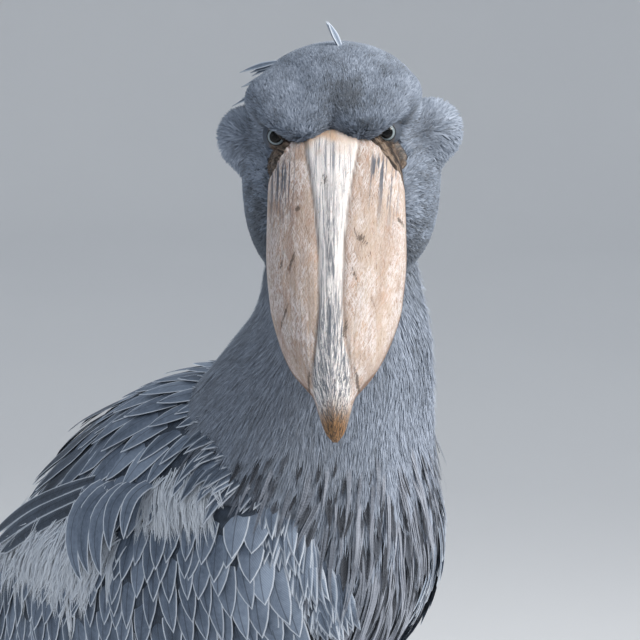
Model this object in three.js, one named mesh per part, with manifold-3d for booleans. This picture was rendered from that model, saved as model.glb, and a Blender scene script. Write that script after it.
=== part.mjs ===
// A life-size shoebill standing with its neck drawn in, its wings hanging a little loose and its
// great bill held down. Millimetres, +Z up. The body faces -Y, and the bird's right side is -X.
import * as THREE from "three";
import { mergeVertices } from "three/addons/utils/BufferGeometryUtils.js";
import Module from "manifold-3d";

const wasm = await Module();
wasm.setup();
const { Manifold, Mesh } = wasm;
const { PI, sin, cos, hypot, min, max, abs, sqrt, atan2 } = Math;
const v3 = (x, y, z) => new THREE.Vector3(x, y, z);
const rad = THREE.MathUtils.degToRad;

// Driving sizes of the bird.
const GAP = 0.35;
const BREAST = v3(0, -202, 800);
const RUMP = v3(0, 260, 590);
const BACK_ARCH = 20;
const NOSE_SHARE = 0.21;
const RUMP_END = 1.1;
const HALF_WIDTH = [
  [0, 100], [0.21, 106], [0.4, 116], [0.55, 114], [0.75, 98], [0.88, 82], [1, 66], [1.5, 36],
];
const BACK_HEIGHT = [
  [0, 99], [0.21, 108], [0.4, 116], [0.55, 112], [0.75, 90], [0.88, 73], [1, 56], [1.5, 20],
];
const BELLY_DEPTH = [
  [0, 100], [0.21, 125], [0.4, 140], [0.55, 130], [0.75, 94], [0.88, 66], [1, 44], [1.5, 20],
];

const NECK_PATH = [
  [2, -62, 770], [3, -114, 842], [2, -142, 905], [-1, -147, 960], [-3, -146, 1010], [0, -141, 1062],
];
const NECK_RADIUS = [[0, 92], [0.25, 91], [0.46, 74], [0.63, 61], [0.8, 54], [1, 52]];

const HEAD_AT = v3(-26, -168, 1105);
const HEAD_PITCH = 54;
const HEAD_ROLL = -5;
const HEAD_YAW = -51;
const HEAD_TWIST = 4;
const BILL_BASE_Y = -40;
const BILL_LENGTH = 235;
const BILL_WIDTH = [
  [0, 34], [0.06, 46], [0.2, 50], [0.38, 50.5], [0.56, 47], [0.65, 42], [0.73, 36], [0.79, 29.5],
  [0.84, 21.5], [0.875, 16.5], [0.93, 12], [0.975, 7], [1, 1.6],
];
const CULMEN = [
  [0, 17], [0.04, 23], [0.12, 26], [0.3, 24], [0.5, 21], [0.7, 17], [0.82, 11], [0.9, 3], [1, -20],
];
const TOMIUM = [[0, -8], [0.3, -19], [0.6, -23], [0.8, -15], [0.88, -15], [1, -24]];
const GONYS = [[0, -48], [0.2, -58], [0.45, -60], [0.7, -50], [0.85, -34], [0.9, -26]];
const LOWER_SHARE = 0.885;
const EYE_AT = v3(41, -41, 11);
const EYE_R = 10;
const EYE_FACES = v3(0.62, -0.6, 0.5).normalize();

const LEG_X = 62;
const ANKLE = v3(LEG_X, 26, 252);
const FOOT = v3(LEG_X, -14, 18);
const KNEE = v3(50, -16, 645);
const TOE_OUT = 7;
const TOES = {
  middle: { turn: 0, length: 162, root: 8.5 },
  inner: { turn: -29, length: 124, root: 7.5 },
  outer: { turn: 31, length: 136, root: 7.5 },
  hind: { turn: 168, length: 84, root: 7.5 },
};

const COLOURS = {
  plumage: [0x66727f, 0.85],
  crown: [0x6b7784, 0.9],
  bill: [0xc9ab8c, 0.55],
  eye: [0xa9aeac, 0.1],
  leg: [0x3d4146, 0.6],
};

// A smooth curve through [place, value] stops that never swings past them.
function through(stops) {
  const last = stops.length - 1;
  const rise = stops.slice(1).map(([x, y], i) => (y - stops[i][1]) / (x - stops[i][0]));
  const slope = stops.map((_, i) => {
    if (i === 0) return rise[0];
    if (i === last) return rise[last - 1];
    const [a, b] = [rise[i - 1], rise[i]];
    return a * b > 0 ? (2 * a * b) / (a + b) : 0;
  });
  return (x) => {
    const at = min(max(x, stops[0][0]), stops[last][0]);
    const i = min(stops.findLastIndex(([place]) => place <= at), last - 1);
    const span = stops[i + 1][0] - stops[i][0];
    const u = (at - stops[i][0]) / span;
    const [a, b] = [stops[i][1], stops[i + 1][1]];
    const swing = span * u * (1 - u) * ((1 - u) * slope[i] - u * slope[i + 1]);
    return a + (b - a) * u * u * (3 - 2 * u) + swing;
  };
}

// Moves every vertex of a geometry; the function gets the vertex and returns its new place.
function warp(geometry, move) {
  const spot = geometry.attributes.position;
  for (let i = 0; i < spot.count; i++) {
    const p = move(v3().fromBufferAttribute(spot, i));
    spot.setXYZ(i, p.x, p.y, p.z);
  }
  return geometry;
}

// The same geometry with shared vertices, and nothing but positions.
function bare(geometry) {
  const copy = geometry.clone();
  copy.deleteAttribute("normal");
  copy.deleteAttribute("uv");
  return mergeVertices(copy, 1e-3);
}

function solid(geometry) {
  const merged = bare(geometry);
  const vertProperties = merged.attributes.position.array;
  const triVerts = new Uint32Array(merged.index.array);
  const made = new Manifold(new Mesh({ numProp: 3, vertProperties, triVerts }));
  if (made.volume() > 0) return made;
  for (let i = 0; i < triVerts.length; i += 3) triVerts.subarray(i + 1, i + 3).reverse();
  return new Manifold(new Mesh({ numProp: 3, vertProperties, triVerts }));
}

// A solid grown outwards by a small distance, to cut clearance for it in a neighbour.
function grown(geometry, by = GAP) {
  const merged = bare(geometry);
  if (solid(geometry).volume() > 0 && turnsIn(merged)) merged.index.array.reverse();
  merged.computeVertexNormals();
  const [spot, normal] = [merged.attributes.position, merged.attributes.normal];
  for (let i = 0; i < spot.count; i++) {
    const out = v3().fromBufferAttribute(normal, i);
    const p = v3().fromBufferAttribute(spot, i).addScaledVector(out, by * 1.25);
    spot.setXYZ(i, p.x, p.y, p.z);
  }
  merged.deleteAttribute("normal");
  return solid(merged);
}

// True where a closed geometry's faces point inwards.
function turnsIn(geometry) {
  const [spot, index] = [geometry.attributes.position, geometry.index.array];
  let volume = 0;
  for (let i = 0; i < index.length; i += 3) {
    const [a, b, c] = [0, 1, 2].map((k) => v3().fromBufferAttribute(spot, index[i + k]));
    volume += a.dot(b.cross(c));
  }
  return volume < 0;
}

// The largest closed surface of a solid: it drops loose scraps and fills sealed hollows.
function whole(shape) {
  const pieces = shape.decompose().sort((a, b) => b.volume() - a.volume());
  return pieces[0];
}

function geometryOf(shape) {
  const mesh = shape.getMesh();
  const spot = new Float32Array(mesh.numVert * 3);
  for (let i = 0; i < mesh.numVert; i++) {
    spot.set(mesh.vertProperties.subarray(i * mesh.numProp, i * mesh.numProp + 3), i * 3);
  }
  const geometry = new THREE.BufferGeometry().setAttribute("position", new THREE.BufferAttribute(spot, 3));
  return geometry.setIndex(new THREE.BufferAttribute(mesh.triVerts, 1));
}

// The body's envelope: t runs from breast 0 to rump 1 and on to the wing tips, and around is the angle
// down from the spine, positive on the bird's left. Height is measured out from the body's own surface.
const halfWidth = through(HALF_WIDTH);
const backHeight = through(BACK_HEIGHT);
const bellyDepth = through(BELLY_DEPTH);
const ALONG = RUMP.clone().sub(BREAST).normalize();
const BODY_LENGTH = BREAST.distanceTo(RUMP);
const UPWARD = v3(0, -ALONG.z, ALONG.y);

function section(t) {
  const back = 1 - min(max(t, 0) / NOSE_SHARE, 1);
  const nose = sqrt(max(1 - back * back, 0));
  return [nose * halfWidth(t), nose * backHeight(t), nose * bellyDepth(t)];
}

function bodyCentre(t) {
  return BREAST.clone().lerp(RUMP, t).add(v3(0, 0, BACK_ARCH * sin(PI * min(max(t, 0), 1))));
}

function onBody(t, around) {
  const [wide, back, belly] = section(t);
  const rise = cos(around) * (cos(around) > 0 ? back : belly);
  return bodyCentre(t).addScaledVector(UPWARD, rise).add(v3(wide * sin(around), 0, 0));
}

function outFrom(t, around) {
  const [dt, da] = [0.004, 0.02];
  const at = max(t, 0.012);
  const back = onBody(at + dt, around).sub(onBody(at - dt, around));
  const side = onBody(at, around + da).sub(onBody(at, around - da));
  return side.cross(back).normalize();
}

function envelope(t, around, height) {
  return onBody(t, around).addScaledVector(outFrom(t, around), height);
}

// A repeatable run of numbers from 0 to 1, for the small differences from feather to feather.
let seed = 4711;
const chance = () => (seed = (seed * 16807) % 2147483647) / 2147483647;
const about = (value, share) => value * (1 + share * (2 * chance() - 1));

// A thin slab whose two faces are cut into triangles alike.
function blade(along, across) {
  const slab = new THREE.BoxGeometry(1, 1, 1, along, across, 1);
  const { start, count } = slab.groups[5];
  const index = slab.index.array;
  for (let i = start; i < start + count; i += 6) {
    const [a, b, d, , c] = index.slice(i, i + 6);
    index.set([a, b, c, a, c, d], i);
  }
  return slab;
}

const STATIONS = { 2: [0, 0.68, 1], 3: [0, 0.42, 0.8, 1], 4: [0, 0.3, 0.6, 0.86, 1] };
const FULLNESS = through([[0, 0.75], [0.42, 1], [0.8, 0.86], [1, 0.09]]);

// One feather along a route of stations from root to tip, each { spot, out }: a blade that narrows to
// a point.
function feather(route, width, { thick = 1.6, along = 2, across = 1, side = 1, full = FULLNESS } = {}) {
  const last = route.length - 1;
  const pick = (u, key) => {
    const at = min(max(u, 0), 1) * last;
    const i = min(Math.floor(at), last - 1);
    return route[i][key].clone().lerp(route[i + 1][key], at - i);
  };
  return warp(blade(along, across), (p) => {
    const u = STATIONS[along][Math.round((p.x + 0.5) * along)];
    const out = pick(u, "out").normalize();
    const heading = pick(u + 0.08, "spot").sub(pick(u - 0.08, "spot")).normalize();
    const reach = 2 * p.y * width * full(u);
    const slim = (across > 1 ? 1 - 0.5 * abs(2 * p.y) : 1) * (u === 1 ? 0.5 : 1);
    const spot = pick(u, "spot").addScaledVector(out.clone().cross(heading), reach);
    spot.addScaledVector(out, p.z * thick * slim - (reach * reach) / 260);
    return v3(side * spot.x, spot.y, spot.z);
  });
}

// A route over the body from a root, heading from straight back (0 degrees) to straight down (90).
function overBody({ t, around, heading, length, height }) {
  const steps = 10;
  const route = [];
  let angle = rad(around);
  for (let i = 0; i <= steps; i++) {
    const out = outFrom(t, angle);
    const spot = onBody(t, angle);
    route.push({ out, spot: spot.clone().addScaledVector(out, height(i / steps, t, (angle * 180) / PI)) });
    const back = onBody(t + 0.003, angle).sub(spot).length() / 0.003;
    const down = onBody(t, angle + 0.01).sub(spot).length() / 0.01;
    const turn = rad(typeof heading === "number" ? heading : heading(i / steps));
    t += ((length / steps) * cos(turn)) / back;
    angle += ((length / steps) * sin(turn)) / down;
  }
  return route;
}

// Joins feathers to the form they grow from; one that swings free of it is left out with the scraps.
const feathered = (core, feathers) => feathers.reduce((made, one) => made.add(solid(one)), core);

// A patch of plumage laid over the body: top and foot give its edges in degrees, sole and crest its
// heights.
function patch({ from, to, top, foot, sole, crest, across, along, side }) {
  const box = new THREE.BoxGeometry(1, 1, 1, along, across, 1);
  return warp(box, (p) => {
    const t = from + (to - from) * (p.x + 0.5);
    const around = rad(top(t) + (foot(t) - top(t)) * (p.y + 0.5));
    const height = p.z < 0 ? sole(t) : crest(t, p.x * 2, p.y * 2);
    const spot = envelope(t, around, height);
    return v3(side * abs(spot.x) * (around < 0 ? -1 : 1), spot.y, spot.z);
  });
}

function torsoGeometry() {
  const ball = new THREE.SphereGeometry(1, 18, 15);
  return warp(ball, (p) => {
    const t = ((1 - p.y) / 2) * RUMP_END;
    if (abs(p.y) > 0.9999) return bodyCentre(t);
    const close = t > 0.85 ? sqrt(max(1 - ((t - 0.85) / (RUMP_END - 0.85)) ** 2, 0)) : 1;
    return bodyCentre(t).lerp(onBody(t, atan2(p.x, p.z)), close);
  });
}

// A round limb along a path of points, with a radius that follows the stops.
function limb(points, radius, { sides = 12, steps = 10, flat = 1 } = {}) {
  const path = new THREE.CatmullRomCurve3(points.map((p) => v3(...p)), false, "centripetal");
  const width = through(radius);
  return warp(new THREE.CylinderGeometry(1, 1, 1, sides, steps), (p) => {
    const t = min(max(0.5 - p.y, 0), 1);
    const heading = path.getTangentAt(t);
    const side = v3(1, 0, 0).addScaledVector(heading, -heading.x).normalize();
    const front = heading.clone().cross(side);
    const spot = path.getPointAt(t).addScaledVector(side, p.x * width(t) * flat);
    return spot.addScaledVector(front, p.z * width(t));
  });
}

function blendedMin(a, b, soft) {
  const h = max(soft - abs(a - b), 0) / soft;
  return min(a, b) - (h * h * soft) / 4;
}

// Signed distance, near enough, from a point to an ellipsoid.
function toEllipsoid(p, centre, size) {
  const q = p.clone().sub(centre);
  const near = q.clone().divide(size).length();
  const far = q.clone().divide(size.clone().multiply(size)).length();
  return near < 1e-6 ? -min(size.x, size.y, size.z) : (near * (near - 1)) / far;
}

// The head's masses in its own frame, bill along -Y: each [centre, half-sizes], and the pairs mirrored.
const HEAD_MASSES = [
  [[4, -9, -1], [57, 40, 41]],
  [[-6, -8, -6], [56, 38, 38]],
  [[0, 12, -36], [53, 38, 48]],
  [[0, -50, -58], [52, 62, 42]],
];
const HEAD_PAIRS = [
  [[21, -37, 25], [19, 22, 12]],
  [[44, -20, 21], [20, 19, 14]],
  [[41, -49, -53], [32, 71, 42]],
  [[68.5, -18, -34], [20.5, 22, 21]],
];
const EYE_HOLLOW = [[50, -56, 10], [17, 17, 14]];

function toHead(p) {
  const mirrored = v3(abs(p.x), p.y, p.z);
  let near = 1e9;
  for (const [c, s] of HEAD_MASSES) near = blendedMin(near, toEllipsoid(p, v3(...c), v3(...s)), 16);
  for (const [c, s] of HEAD_PAIRS) near = blendedMin(near, toEllipsoid(mirrored, v3(...c), v3(...s)), 12);
  const hollow = toEllipsoid(mirrored, v3(...EYE_HOLLOW[0]), v3(...EYE_HOLLOW[1]));
  return -blendedMin(-near, hollow, 8);
}

function headGeometry() {
  const centre = v3(0, -12, -16);
  return warp(new THREE.SphereGeometry(1, 34, 20), (p) => {
    const ray = v3(p.x, p.z, p.y).normalize();
    let [inside, outside] = [5, 170];
    for (let i = 0; i < 26; i++) {
      const mid = (inside + outside) / 2;
      if (toHead(centre.clone().addScaledVector(ray, mid)) < 0) inside = mid;
      else outside = mid;
    }
    return centre.clone().addScaledVector(ray, inside);
  });
}

const billWidth = through(BILL_WIDTH);
const culmen = through(CULMEN);
const tomium = through(TOMIUM);
const gonys = through(GONYS);

// The upper bill: a broad vault with a raised ridge along its middle, ending in a hooked nail.
function upperBillGeometry() {
  return warp(new THREE.CylinderGeometry(1, 1, 1, 18, 16), (p) => {
    const s = min(max(0.5 - p.y, 0), 1) ** 0.85;
    const [w, top, edge] = [billWidth(s), culmen(s), tomium(s)];
    const nail = max(0, (s - 0.86) / 0.14);
    const crown = p.z > 0 ? (top - edge) * p.z ** 0.75 : 3 * p.z * (1 - nail);
    const ridge = 3.5 * max(0, 1 - abs(p.x) / 0.3) * (p.z > 0 ? 1 - nail : 0);
    return v3(w * p.x, BILL_BASE_Y - BILL_LENGTH * s, edge + crown + ridge);
  });
}

function lowerBillGeometry() {
  return warp(new THREE.CylinderGeometry(1, 1, 1, 14, 10), (p) => {
    const s = min(max(0.5 - p.y, 0), 1) * LOWER_SHARE;
    const w = max(billWidth(s) - 3.5, 5);
    const [edge, keel] = [tomium(s) - 4, gonys(s)];
    const fall = p.z < 0 ? min(keel - edge, -3) * abs(p.z) ** 0.8 : 0;
    return v3(w * p.x, BILL_BASE_Y - BILL_LENGTH * s, edge + fall);
  });
}

function eyeGeometry(side) {
  return new THREE.SphereGeometry(EYE_R, 12, 8).translate(side * EYE_AT.x, EYE_AT.y, EYE_AT.z);
}

const headPose = new THREE.Matrix4()
  .makeTranslation(HEAD_AT)
  .multiply(new THREE.Matrix4().makeRotationZ(rad(HEAD_YAW)))
  .multiply(new THREE.Matrix4().makeRotationY(rad(HEAD_ROLL)))
  .multiply(new THREE.Matrix4().makeRotationX(rad(HEAD_PITCH)))
  .multiply(new THREE.Matrix4().makeRotationY(rad(HEAD_TWIST)));
const posed = (geometry) => geometry.clone().applyMatrix4(headPose);

function neckGeometry() {
  return limb(NECK_PATH, NECK_RADIUS, { sides: 16, steps: 8 });
}

function insideBody(p) {
  const from = p.clone().sub(BREAST);
  const t = from.dot(ALONG) / BODY_LENGTH;
  if (t < 0.001) return false;
  const q = p.clone().sub(bodyCentre(t));
  const [wide, back, belly] = section(t);
  const rise = q.dot(UPWARD);
  return hypot(q.x / wide, rise / (rise > 0 ? back : belly)) < 1;
}

// The place on the front of the breast at a given width and height.
function breastAt(x, z) {
  let [out, within] = [-420, -120];
  for (let i = 0; i < 22; i++) {
    const y = (out + within) / 2;
    if (insideBody(v3(x, y, z))) within = y;
    else out = y;
  }
  return v3(x, within, z);
}

// Long plumes that hang down the breast, rooted under the base of the neck: [x, z, length].
const PLUMES = [
  [-49, 790, 100], [-38, 800, 140], [-22, 798, 126], [-6, 804, 150], [10, 800, 134], [26, 802, 144],
  [39, 796, 122], [48, 790, 100], [-30, 736, 92], [0, 742, 100], [30, 738, 94],
];

function plumeFeathers() {
  return PLUMES.map(([x, z, length]) => {
    const lean = about(0.04, 1) * Math.sign(x || 1);
    const route = [];
    for (let i = 0; i <= 6; i++) {
      const spot = breastAt(x + lean * length * (i / 6) * 0.4, z - (length * i) / 6);
      const out = spot.clone().sub(v3(0, -60, 745)).normalize();
      route.push({ out, spot: spot.clone().addScaledVector(out, -3 + 11 * (i / 6) ** 0.7) });
    }
    return feather(route, 6.6, { along: 3, thick: 1.5 });
  });
}

// The crest's few stiff feathers, in the head's frame: [root, tip, half-width].
const CREST = [
  [[-40, 12, 24], [-67, 18, -3], 4.5],
  [[-44, 6, 18], [-73, 12, -12], 4.5],
  [[-46, 2, 8], [-77, 4, -18], 4],
  [[-4, 6, 32], [-6, 34, 39], 4.5],
];

function crestFeathers() {
  return CREST.map(([root, tip, width]) => {
    const [a, b] = [v3(...root), v3(...tip)];
    const out = a.clone().sub(v3(0, -12, -16)).normalize();
    const bow = (u) => a.clone().lerp(b, u).addScaledVector(out, 5 * u * (1 - u));
    const route = [0, 0.5, 1].map((u) => ({ out, spot: bow(u) }));
    return posed(feather(route, width));
  });
}

// The rim of bare skin round an eye.
function lidGeometry(side) {
  const faces = EYE_FACES.clone().multiply(v3(side, 1, 1));
  const rim = new THREE.TorusGeometry(EYE_R + 0.2, 1.7, 5, 14).scale(1, 0.96, 1);
  rim.applyQuaternion(new THREE.Quaternion().setFromUnitVectors(v3(0, 0, 1), faces));
  return rim.translate(side * EYE_AT.x + 2 * faces.x, EYE_AT.y + 2 * faces.y, EYE_AT.z + 2 * faces.z);
}

// The slit of a nostril beside the bill's ridge.
function nostrilGeometry(side) {
  const slit = new THREE.SphereGeometry(1, 8, 6).scale(1.3, 8, 5).rotateZ(side * 0.1);
  return slit.translate(side * 11, -62, 29);
}

// The folded wing, from the bend by the breast to the tips beside the tail.
const WING_FROM = 0.09;
const WING_END = 1.12;
const THIGH_ROOM = 12;
const WING_TOP = through([
  [WING_FROM, 82], [0.3, 76], [0.45, 70], [0.62, 54], [0.84, 34], [1, 17], [WING_END, 12], [1.36, 40],
]);
const WING_FOOT = through([[WING_FROM, 134], [0.22, 146], [0.45, 143], [0.8, 124], [1, 108], [1.36, 88]]);
const WING_THICK = through([[WING_FROM, 3], [0.25, 13], [0.45, 17], [0.7, 17], [1, 14], [1.36, 11]]);
const WING_SOLE = through([[WING_FROM, -5], [0.85, -5], [1.02, 4], [1.36, 7]]);

function wingCrest(t, v) {
  const u = (2 * (t - WING_FROM)) / (WING_END - WING_FROM) - 1;
  return WING_THICK(t) * sqrt(max(1 - v * v * 0.55, 0.3)) * sqrt(max(1 - u * u * 0.35, 0.3)) + 2;
}

function wingGeometry(side) {
  return patch({
    from: WING_FROM, to: WING_END, top: WING_TOP, foot: WING_FOOT, sole: WING_SOLE,
    crest: (t, u, v) => wingCrest(t, v), across: 5, along: 10, side,
  });
}

// The wing's tiers: [share of the way down the wing, first t, last t, feathers, length].
const COVERT_TIERS = [
  [0.0, 0.13, 0.8, 9, 40],
  [0.17, 0.11, 0.72, 8, 42],
  [0.34, 0.13, 0.62, 7, 44],
  [0.51, 0.11, 0.54, 6, 50],
];
const COVERT_HEADING = through([[0.1, 84], [0.3, 74], [0.8, 50]]);
const SECONDARIES = 8;
const TERTIALS = 4;
const PRIMARIES = 5;
const wingAngle = (t, share) => WING_TOP(t) + (WING_FOOT(t) - WING_TOP(t)) * share;
const overWing = (low, high) => (u, t, around) => {
  const share = (around - WING_TOP(t)) / (WING_FOOT(t) - WING_TOP(t));
  return wingCrest(t, min(max(2 * share - 1, -1), 1)) + low + (high - low) * u;
};

function wingFeathers(side) {
  const made = [];
  COVERT_TIERS.forEach(([share, first, last, count, length], tier) => {
    const pitch = ((last - first) * BODY_LENGTH) / count;
    for (let i = 0; i < count; i++) {
      const t = first + ((i + (tier % 2 ? 0.75 : 0.25)) / count) * (last - first);
      const heading = about(COVERT_HEADING(t), 0.04);
      const width = (pitch * sin(rad(heading))) / 2 - 1.2;
      const around = wingAngle(t, share);
      const reach = about(length, 0.08);
      const route = overBody({ t, around, heading, length: reach, height: overWing(-3, 5.5) });
      made.push(feather(route, width, { side }));
    }
  });
  for (let i = 0; i < SECONDARIES; i++) {
    const u = i / (SECONDARIES - 1);
    const t = 0.2 + 0.54 * u;
    const around = wingAngle(t, 0.74 - 0.58 * u);
    const length = about(160 + 20 * u, 0.05);
    const route = overBody({ t, around, heading: 11 - 4 * u, length, height: overWing(-3, 3.2) });
    made.push(feather(route, 9, { side, along: 3, thick: 1.4 }));
  }
  for (let i = 0; i < TERTIALS; i++) {
    const t = 0.8 + 0.035 * i;
    const around = 60 - 13.5 * i;
    const length = about(158, 0.05);
    const route = overBody({ t, around, heading: 6 - 3 * i, length, height: overWing(-3, 4.5) });
    made.push(feather(route, 7.6, { side, along: 3, thick: 1.4 }));
  }
  for (let i = 0; i < PRIMARIES; i++) {
    const u = i / (PRIMARIES - 1);
    const around = 38 + 58 * u;
    const length = about(208 - 30 * u, 0.03);
    const height = (along) => 4 + 5 * along - 1.5 * u;
    const route = overBody({ t: 0.97, around, heading: 7 - 14 * u, length, height });
    made.push(feather(route, 7, { side, along: 3, thick: 1.3 }));
  }
  return made;
}

const MANTLE_FROM = 0.13;
const MANTLE_TO = 0.68;
const MANTLE_THICK = 20;
const MANTLE_EDGE = through([[MANTLE_FROM, 52], [0.27, 69], [0.42, 66], [0.56, 52], [MANTLE_TO, 38]]);

function mantleCrest(t, v) {
  const u = (2 * (t - MANTLE_FROM)) / (MANTLE_TO - MANTLE_FROM) - 1;
  return 2 + MANTLE_THICK * sqrt(max(1 - u * u, 0)) * sqrt(max(1 - v * v * 0.7, 0));
}

function mantleGeometry() {
  return patch({
    from: MANTLE_FROM, to: MANTLE_TO, top: (t) => -MANTLE_EDGE(t), foot: MANTLE_EDGE, sole: () => -5,
    crest: (t, u, v) => mantleCrest(t, v), across: 8, along: 6, side: 1,
  });
}

// The scapulars in tiers, each [t, feathers from side to side, length, room at the sides, lift at the tip],
// and the long ones that curl down over the wings, [t, angle, first heading, last heading, length].
const SCAPULAR_TIERS = [
  [0.17, 5, 66, 10, 5],
  [0.25, 6, 74, 10, 5],
  [0.33, 6, 80, 10, 5],
  [0.41, 6, 84, 17, 13],
  [0.49, 5, 84, 17, 13],
];
const DROOPERS = [
  [0.29, 66, 52, 88, 60],
  [0.34, 63, 32, 116, 80],
  [0.38, 59, 14, 132, 96],
];
const DROOPER_LIFT = through([[0, 5], [0.25, 20], [0.5, 28], [1, 32]]);

function mantleFeathers() {
  const made = [];
  const surface = (t, around) => mantleCrest(t, min(abs(around) / MANTLE_EDGE(t), 1));
  for (const [root, count, length, room, lift] of SCAPULAR_TIERS) {
    const span = 2 * (MANTLE_EDGE(root) - room);
    const width = (rad(span) * backHeight(root)) / count / 2 - 1;
    const height = (u, t, around) => surface(t, around) - 3 + (lift + 3) * u;
    for (let i = 0; i < count; i++) {
      const share = (i + 0.5) / count - 0.5;
      const reach = about(length, 0.07);
      const route = overBody({ t: root, around: share * span, heading: 44 * share, length: reach, height });
      made.push(feather(route, width));
    }
  }
  for (const side of [-1, 1]) {
    for (const [t, around, start, end, length] of DROOPERS) {
      const heading = (u) => start + (end - start) * u;
      const reach = about(length, 0.04);
      const route = overBody({ t, around, heading, length: reach, height: DROOPER_LIFT });
      made.push(feather(route, 15, { side, along: 4, thick: 1.8 }));
    }
  }
  return made;
}

const TAIL_LENGTH = 215;
const TAIL_DROP = 6;
const TAIL_STUMP = 105;
const TAIL_START = 40;
const RECTRICES = 12;
const TAIL_ROOT = bodyCentre(0.95).addScaledVector(UPWARD, -12);
const TAIL_HEADING = ALONG.clone().applyAxisAngle(v3(1, 0, 0), -rad(TAIL_DROP));
const TAIL_UP = v3(0, -TAIL_HEADING.z, TAIL_HEADING.y);
const TAIL_FULLNESS = through([[0, 0.6], [0.7, 1], [1, 0.35]]);

// The tail's fleshy root, which the tail feathers grow from.
function tailGeometry() {
  return warp(new THREE.CylinderGeometry(1, 1, 1, 12, 4), (p) => {
    const t = min(max(0.5 - p.y, 0), 1);
    const [wide, deep] = [34 - 4 * t, 15 - 10 * t * t];
    const spot = TAIL_ROOT.clone().addScaledVector(TAIL_HEADING, t * TAIL_STUMP);
    return spot.addScaledVector(TAIL_UP, p.z * deep).add(v3(p.x * wide, 0, 0));
  });
}

function tailFeathers() {
  const made = [];
  for (let i = 0; i < RECTRICES; i++) {
    const place = i - (RECTRICES - 1) / 2;
    const level = 4.5 - 2.2 * (abs(place) - 0.5) - (place > 0 ? 1.1 : 0);
    const heading = TAIL_HEADING.clone().applyAxisAngle(TAIL_UP, rad(1.7 * place));
    const root = TAIL_ROOT.clone().addScaledVector(TAIL_HEADING, TAIL_START).add(v3(3 * place, 0, 0));
    const reach = TAIL_LENGTH - TAIL_START - 1.6 * abs(place);
    const line = (u) => root.clone().addScaledVector(TAIL_UP, level).addScaledVector(heading, reach * u);
    const route = [0, 0.5, 1].map((u) => ({ out: TAIL_UP, spot: line(u) }));
    made.push(feather(route, 14, { thick: 0.8, full: TAIL_FULLNESS }));
  }
  return made;
}

function thighGeometry(side) {
  const path = [KNEE, v3(58, 8, 470), v3(LEG_X, 22, 345)].map((p) => [side * p.x, p.y, p.z]);
  return limb(path, [[0, 40], [0.35, 38], [0.75, 23], [1, 15.5]], { sides: 12, steps: 6 });
}

function shankGeometry(side) {
  const path = [v3(61, 19, 380), v3(LEG_X, 27, 290), ANKLE, v3(LEG_X, 17, 205), v3(LEG_X, -6, 70), FOOT];
  const radius = [[0, 10], [0.2, 11], [0.34, 16.5], [0.45, 12], [0.75, 10], [0.93, 12], [1, 14]];
  return limb(path.map((p) => [side * p.x, p.y, p.z]), radius, { sides: 10, steps: 12 });
}

const HUB_R = 17;
function hubGeometry(side) {
  const ball = new THREE.SphereGeometry(1, 10, 6).scale(HUB_R, HUB_R + 2, 15);
  return warp(ball, (p) => v3(side * FOOT.x + p.x, FOOT.y + 2 + p.y, max(p.z + 12, 0)));
}

// A toe lying on the floor, knuckled along its length, with its claw curving down to the floor.
function toeGeometry(side, { turn, length, root }) {
  const bearing = rad(turn + TOE_OUT);
  const heading = v3(sin(bearing) * side, -cos(bearing), 0);
  const across = v3(-heading.y, heading.x, 0);
  const fat = [[0, 1], [0.2, 0.86], [0.4, 0.92], [0.62, 0.7], [0.8, 0.72], [0.86, 0.5], [1, 0.1]];
  const radius = through(fat.map(([place, share]) => [place, share * root]));
  return warp(new THREE.CylinderGeometry(1, 1, 1, 7, 8), (p) => {
    const t = min(max(0.5 - p.y, 0), 1);
    const r = radius(t);
    const spot = v3(side * FOOT.x, FOOT.y, 0).addScaledVector(heading, 6 + t * length);
    const lift = t > 0.86 ? (t - 0.86) * 22 * (1 - t) * 7 : 0;
    return spot.addScaledVector(across, p.x * r).add(v3(0, 0, max(r * 0.82 + p.z * r + lift, 0)));
  });
}

const parts = new Map();
const put = (name, shape, colour) => parts.set(name, { shape: whole(shape), colour });

const torso = torsoGeometry();
const head = posed(headGeometry());
const upper = posed(upperBillGeometry());
const lower = posed(lowerBillGeometry());
const headSolid = solid(head);
const torsoCut = grown(torso);
const headCut = grown(head);

put("torso", feathered(solid(torso), plumeFeathers()), "plumage");
const nape = solid(neckGeometry()).subtract(torsoCut).subtract(headCut);
put("neck", nape.subtract(grown(upper)).subtract(grown(lower)), "plumage");

let skull = feathered(headSolid, crestFeathers());
for (const side of [-1, 1]) {
  const name = side < 0 ? "right" : "left";
  put("eye_" + name, solid(posed(eyeGeometry(side))), "eye");
  skull = skull.add(solid(posed(lidGeometry(side)))).subtract(grown(posed(eyeGeometry(side))));
}
put("head", skull, "crown");
let beak = solid(upper).subtract(headCut);
for (const side of [-1, 1]) {
  beak = beak.subtract(solid(posed(nostrilGeometry(side)))).subtract(grown(posed(lidGeometry(side))));
}
put("bill_upper", beak, "bill");
put("bill_lower", solid(lower).subtract(headCut).subtract(grown(upper)), "bill");

const neckCut = grown(neckGeometry());
const mantle = feathered(solid(mantleGeometry()), mantleFeathers());
put("mantle", mantle.subtract(torsoCut).subtract(neckCut), "plumage");
const mantleCut = grown(mantleGeometry());
put("tail", feathered(solid(tailGeometry()), tailFeathers()).subtract(torsoCut), "plumage");
const tailCut = grown(tailGeometry());

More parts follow.
